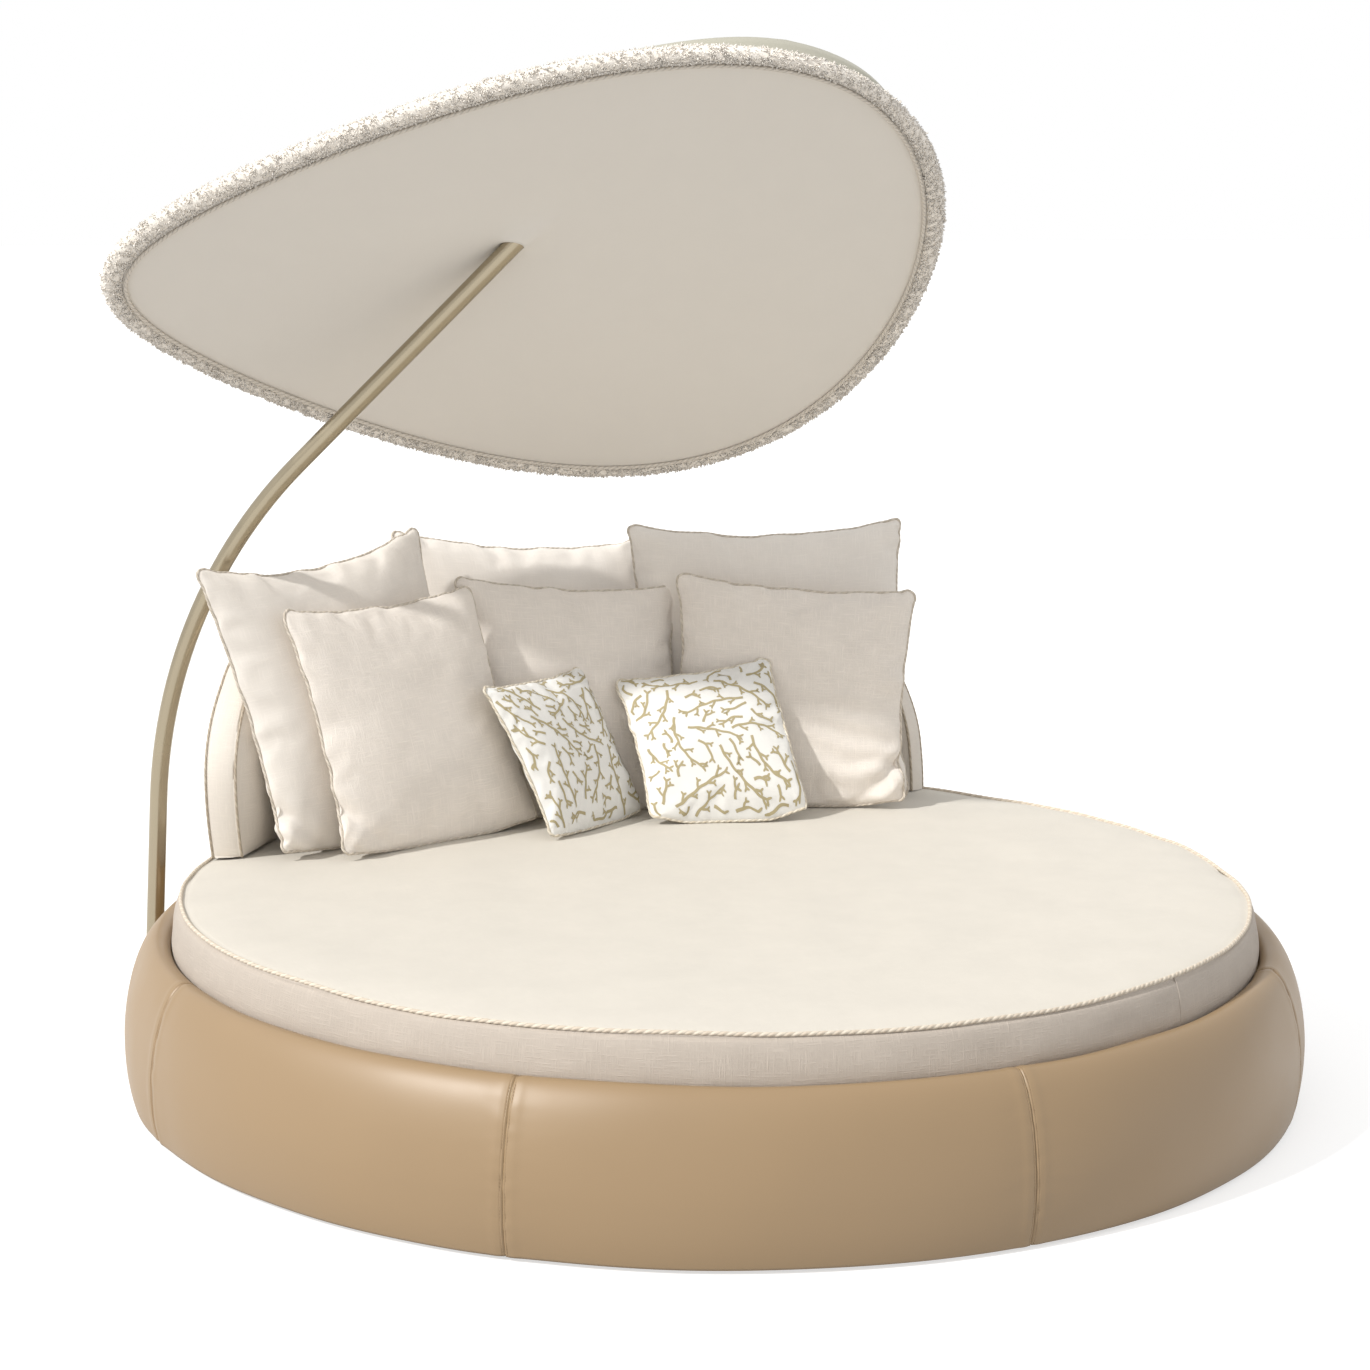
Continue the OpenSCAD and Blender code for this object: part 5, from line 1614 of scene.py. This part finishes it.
    def fringe(self, canopy):
        """A soft band under thousands of short curled tufts."""
        pile = plush("fringe_pile", tuple(canopy.pile))
        edge, out = canopy_edge(canopy, 420)
        core = FRINGE_SECTION * BAND_SHARE + BAND_SHIFT
        narrow = canopy.fringe * (1 - NEAR_NARROWING * near_side(out))[:, None]
        flat = edge[:, None] + out[:, None] * (0.0004 + core[:, 0] * narrow)[..., None]
        band = np.dstack([flat, np.broadcast_to(core[:, 1] * canopy.rim, flat.shape[:2])])
        swell = 0.0018 * ripple(band.reshape(-1, 3), 0.024, 44).reshape(flat.shape[:2])
        band = band + (swell * (core[:, 0] > 0.1))[..., None]
        mesh = build_mesh("canopy_fringe_band", apply_place(self.place, band.reshape(-1, 3)),
                          grid_faces(*flat.shape[:2], wrap_rows=True, wrap_columns=True))
        piece = finish_object("canopy_fringe_band", mesh, [pile], CANOPY)
        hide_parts("canopy_fringe")
        for number, belt in enumerate(TUFT_BELTS):
            points, faces = self.tufts(canopy, belt, 77 + number)
            name = f"canopy_fringe_pile_{number + 1}"
            mesh = build_mesh(name, apply_place(self.place, points), faces)
            finish_object(name, mesh, [pile], CANOPY)

    def tufts(self, canopy, belt, seed):
        """Short curled tufts spread over part of the band, as points and faces."""
        draw = np.random.default_rng(seed)
        number = TUFTS
        size = np.array([canopy.fringe, canopy.rim])
        rim, rim_out = canopy_edge(canopy, 2000)
        along = run_along(np.vstack([rim, rim[:1]]))
        want = draw.uniform(0, along[-1], number)
        pick = np.searchsorted(along, want) - 1
        skirt, _ = resample(FRINGE_SECTION * size, SKIRT_STEPS, closed=False)
        slope = unit(np.gradient(skirt, axis=0))
        level = draw.integers(*belt, number)
        clump = ripple(np.column_stack([want, level * 0.0011]), 0.020, seed + 5)
        spot = (skirt[level] * ROOT_SHARE + ROOT_SHIFT * size) * (1 + 0.02 * clump[:, None])
        out = rim_out[pick]
        spot[:, 0] *= 1 - NEAR_NARROWING * near_side(out)
        root = np.column_stack([rim[pick] + out * spot[:, :1], spot[:, 1]])
        tip_way = np.column_stack([out * slope[level, 1:], -slope[level, 0]])
        swing = np.column_stack([-out[:, 1], out[:, 0], np.zeros(number)])
        lean = unit(tip_way + draw.normal(0, 0.5, (number, 3)) + 0.5 * clump[:, None] * swing)
        curl = unit(np.cross(lean, swing) + draw.normal(0, 0.8, (number, 3)))
        length = (draw.uniform(*TUFT_LENGTH, number) * (1 + 0.12 * clump))[:, None]
        width = draw.uniform(*TUFT_WIDTH, number)[:, None]
        a = unit(np.cross(lean, curl))
        b = np.cross(lean, a)
        rings = []
        for t, fat in ((0.0, 1.0), (0.5, 0.95)):
            middle = root + lean * length * t + curl * length * 0.5 * math.sin(math.pi * t)
            for turn in TURN * np.arange(3) / 3:
                rings.append(middle + (a * math.cos(turn) + b * math.sin(turn)) * width * fat / 2)
        rings.append(root + lean * length + curl * length * 0.15)
        sides = [[0, 1, 4, 3], [1, 2, 5, 4], [2, 0, 3, 5]]
        caps = [[0, 2, 1], [3, 4, 6], [4, 5, 6], [5, 3, 6]]
        first = len(rings) * np.arange(number)[:, None, None]
        faces = [(np.array(kind)[None] + first).reshape(-1, len(kind[0])) for kind in (sides, caps)]
        return np.stack(rings, axis=1).reshape(-1, 3), faces[0].tolist() + faces[1].tolist()


# Rigid pieces


# Finishes of the rigid pieces: colour, lowest and highest roughness, metallic, fineness of the
# clouds and of the speckle, strength of the clouds, depth of the speckle, and the pieces
FINISHES = {
    "cast_metal": ((0.55, 0.52, 0.46), 0.34, 0.48, 1.0, 20.0, 900.0, 0.12, 0.18,
                   ["clamp_collar", "canopy_hub"]),
    "mill_metal": ((0.62, 0.62, 0.62), 0.34, 0.46, 1.0, 12.0, 1200.0, 0.10, 0.08,
                   ["mast_spigot", "canopy_rim"] + [f"canopy_rib_{k}" for k in range(1, 7)]),
    "frame_paint": ((0.045, 0.042, 0.04), 0.5, 0.62, 0.0, 10.0, 1100.0, 0.2, 0.15,
                    ["lower_hoop", "upper_hoop", "hoop_posts", "deck_beams", "centre_post",
                     "foot_plate", "mast_socket"]),
    "bright_steel": ((0.58, 0.58, 0.57), 0.25, 0.4, 1.0, 40.0, 1500.0, 0.15, 0.05,
                     ["plate_screws"]),
    "black_rubber": ((0.02, 0.02, 0.02), 0.7, 0.85, 0.0, 30.0, 900.0, 0.3, 0.2,
                     ["floor_glides", "centre_foot", "plate_pads"]),
    "white_nylon": ((0.78, 0.77, 0.74), 0.4, 0.5, 0.0, 30.0, 900.0, 0.06, 0.08,
                    ["thrust_pad", "bush_low", "bush_high"]),
    "knob_plastic": ((0.018, 0.018, 0.018), 0.42, 0.55, 0.0, 40.0, 1300.0, 0.2, 0.2,
                     ["clamp_knob"]),
    "rim_foam": ((0.74, 0.66, 0.44), 0.9, 0.98, 0.0, 25.0, 400.0, 0.2, 0.6, ["rim_foam"]),
}


class DAYBED_OT_frame(bpy.types.Operator):
    """Gives the mast, the foot and the hidden frame their finishes"""

    bl_idname = "daybed.frame"
    bl_label = "Mast and frame"

    def execute(self, context):
        self.finish(clouded("champagne_metal", tuple(props("canopy").metal), 0.20, 0.28, 1.0, 14.0,
                            1600.0, 0.12, 0.06), ["mast_lower", "mast_upper"])
        self.finish(plywood("birch_plywood", (0.60, 0.44, 0.26)),
                    ["deck_left", "deck_right", "rim_wall"])
        for name, (*values, pieces) in FINISHES.items():
            self.finish(clouded(name, *values), pieces)
        return {"FINISHED"}

    def finish(self, material, pieces):
        """Gives the frame's own pieces a material."""
        for name in pieces:
            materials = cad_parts[name].data.materials
            materials.clear()
            materials.append(material)


# Stage


# The camera's place and the way that it looks
CAMERA_PLACE, CAMERA_WAY = (-2.776, -5.264, 1.841), (0.4501, 0.8763, -0.1718)
# Where the sun stands, its colour, and its width in degrees
SUN_FROM, SUN_COLOUR, SUN_WIDTH = (-0.760, -0.114, 0.639), (1.0, 0.985, 0.96), 2.5
# Half the floor's side, its colour, and its glow where it is seen directly
FLOOR_REACH, FLOOR_COLOUR, FLOOR_GLOW = 60.0, (0.50, 0.50, 0.50), 0.62


class DAYBED_OT_stage(bpy.types.Operator):
    """Sets up the floor, the lights and the camera"""

    bl_idname = "daybed.stage"
    bl_label = "Stage"

    def execute(self, context):
        stage = props("stage")
        scene = context.scene
        scene.view_settings.view_transform = "Standard"
        self.camera(scene, stage)
        self.floor(scene)
        self.world(scene, stage)
        sun = bpy.data.lights.new("key_light", "SUN")
        sun.energy = stage.key
        sun.angle = math.radians(SUN_WIDTH)
        sun.color = SUN_COLOUR
        lamp = bpy.data.objects.new("key_light", sun)
        scene.collection.objects.link(lamp)
        lamp.rotation_euler = Vector(SUN_FROM).to_track_quat("Z", "Y").to_euler()
        return {"FINISHED"}

    def camera(self, scene, stage):
        """Camera at the photograph's place."""
        data = bpy.data.cameras.new("camera")
        data.lens = stage.lens
        data.sensor_width = 36
        data.clip_end = 100
        camera = bpy.data.objects.new("camera", data)
        scene.collection.objects.link(camera)
        ahead = Vector(CAMERA_WAY).normalized()
        right = ahead.cross(Vector((0, 0, 1))).normalized()
        up = right.cross(ahead)
        c, s = math.cos(stage.roll), math.sin(stage.roll)
        turn = Matrix((c * right + s * up, c * up - s * right, -ahead)).transposed().to_4x4()
        camera.matrix_world = Matrix.Translation(CAMERA_PLACE) @ turn
        scene.camera = camera

    def floor(self, scene):
        """White floor that keeps a soft shadow."""
        corners = [(-1, -1, 0), (1, -1, 0), (1, 1, 0), (-1, 1, 0)]
        mesh = build_mesh("floor", FLOOR_REACH * np.array(corners), [(0, 1, 2, 3)])
        floor = bpy.data.objects.new("floor", mesh)
        scene.collection.objects.link(floor)
        material, tree, shader = new_material("floor_white", roughness=0.9, specular=0.1)
        shader.inputs["Base Color"].default_value = rgba(FLOOR_COLOUR)
        glow = maths(tree, "MULTIPLY", seen_directly(tree), FLOOR_GLOW)
        tree.links.new(glow, shader.inputs["Emission Strength"])
        shader.inputs["Emission Color"].default_value = (1, 1, 1, 1)
        mesh.materials.append(material)

    def world(self, scene, stage):
        """Even room light, white where the camera and reflections see it."""
        world = bpy.data.worlds.new("room")
        scene.world = world
        world.use_nodes = True
        tree = world.node_tree
        background = tree.nodes["Background"]
        background.inputs["Color"].default_value = (1, 1, 1, 1)
        strength = put(tree, "Mix", {0: seen_directly(tree), 2: stage.ambient, 3: 1.0}).outputs[0]
        tree.links.new(strength, background.inputs["Strength"])


# Panel and registration


class DAYBED_PT_main(bpy.types.Panel):
    """Lists the daybed's operators and sizes"""

    bl_label = "Round daybed"
    bl_idname = "DAYBED_PT_main"
    bl_space_type = "VIEW_3D"
    bl_region_type = "UI"
    bl_category = "Daybed"

    def draw(self, context):
        for operator in OPERATORS:
            self.layout.operator(operator.bl_idname)
        for name in GROUPS:
            box = self.layout.box()
            for key in GROUPS[name].__annotations__:
                box.prop(props(name), key)


OPERATORS = (DAYBED_OT_stage, DAYBED_OT_frame, DAYBED_OT_ring, DAYBED_OT_mattress,
             DAYBED_OT_backrest, DAYBED_OT_pillows, DAYBED_OT_canopy)
GROUPS = {
    "ring": DAYBED_PG_ring,
    "mattress": DAYBED_PG_mattress,
    "backrest": DAYBED_PG_backrest,
    "pillows": DAYBED_PG_pillows,
    "canopy": DAYBED_PG_canopy,
    "stage": DAYBED_PG_stage,
}


def register():
    """Registers the classes and hangs the settings on the scene."""
    for name, group in GROUPS.items():
        bpy.utils.register_class(group)
        setattr(bpy.types.Scene, "daybed_" + name, PointerProperty(type=group))
    for operator in OPERATORS:
        bpy.utils.register_class(operator)
    bpy.utils.register_class(DAYBED_PT_main)


def unregister():
    """Takes the classes and the settings away again."""
    bpy.utils.unregister_class(DAYBED_PT_main)
    for operator in reversed(OPERATORS):
        bpy.utils.unregister_class(operator)
    for name, group in reversed(GROUPS.items()):
        delattr(bpy.types.Scene, "daybed_" + name)
        bpy.utils.unregister_class(group)


def main():
    """Builds the whole daybed."""
    register()
    bpy.ops.daybed.stage()
    bpy.ops.daybed.frame()
    bpy.ops.daybed.ring()
    bpy.ops.daybed.mattress()
    bpy.ops.daybed.backrest()
    bpy.ops.daybed.pillows()
    bpy.ops.daybed.canopy()


if __name__ == "__main__":
    main()
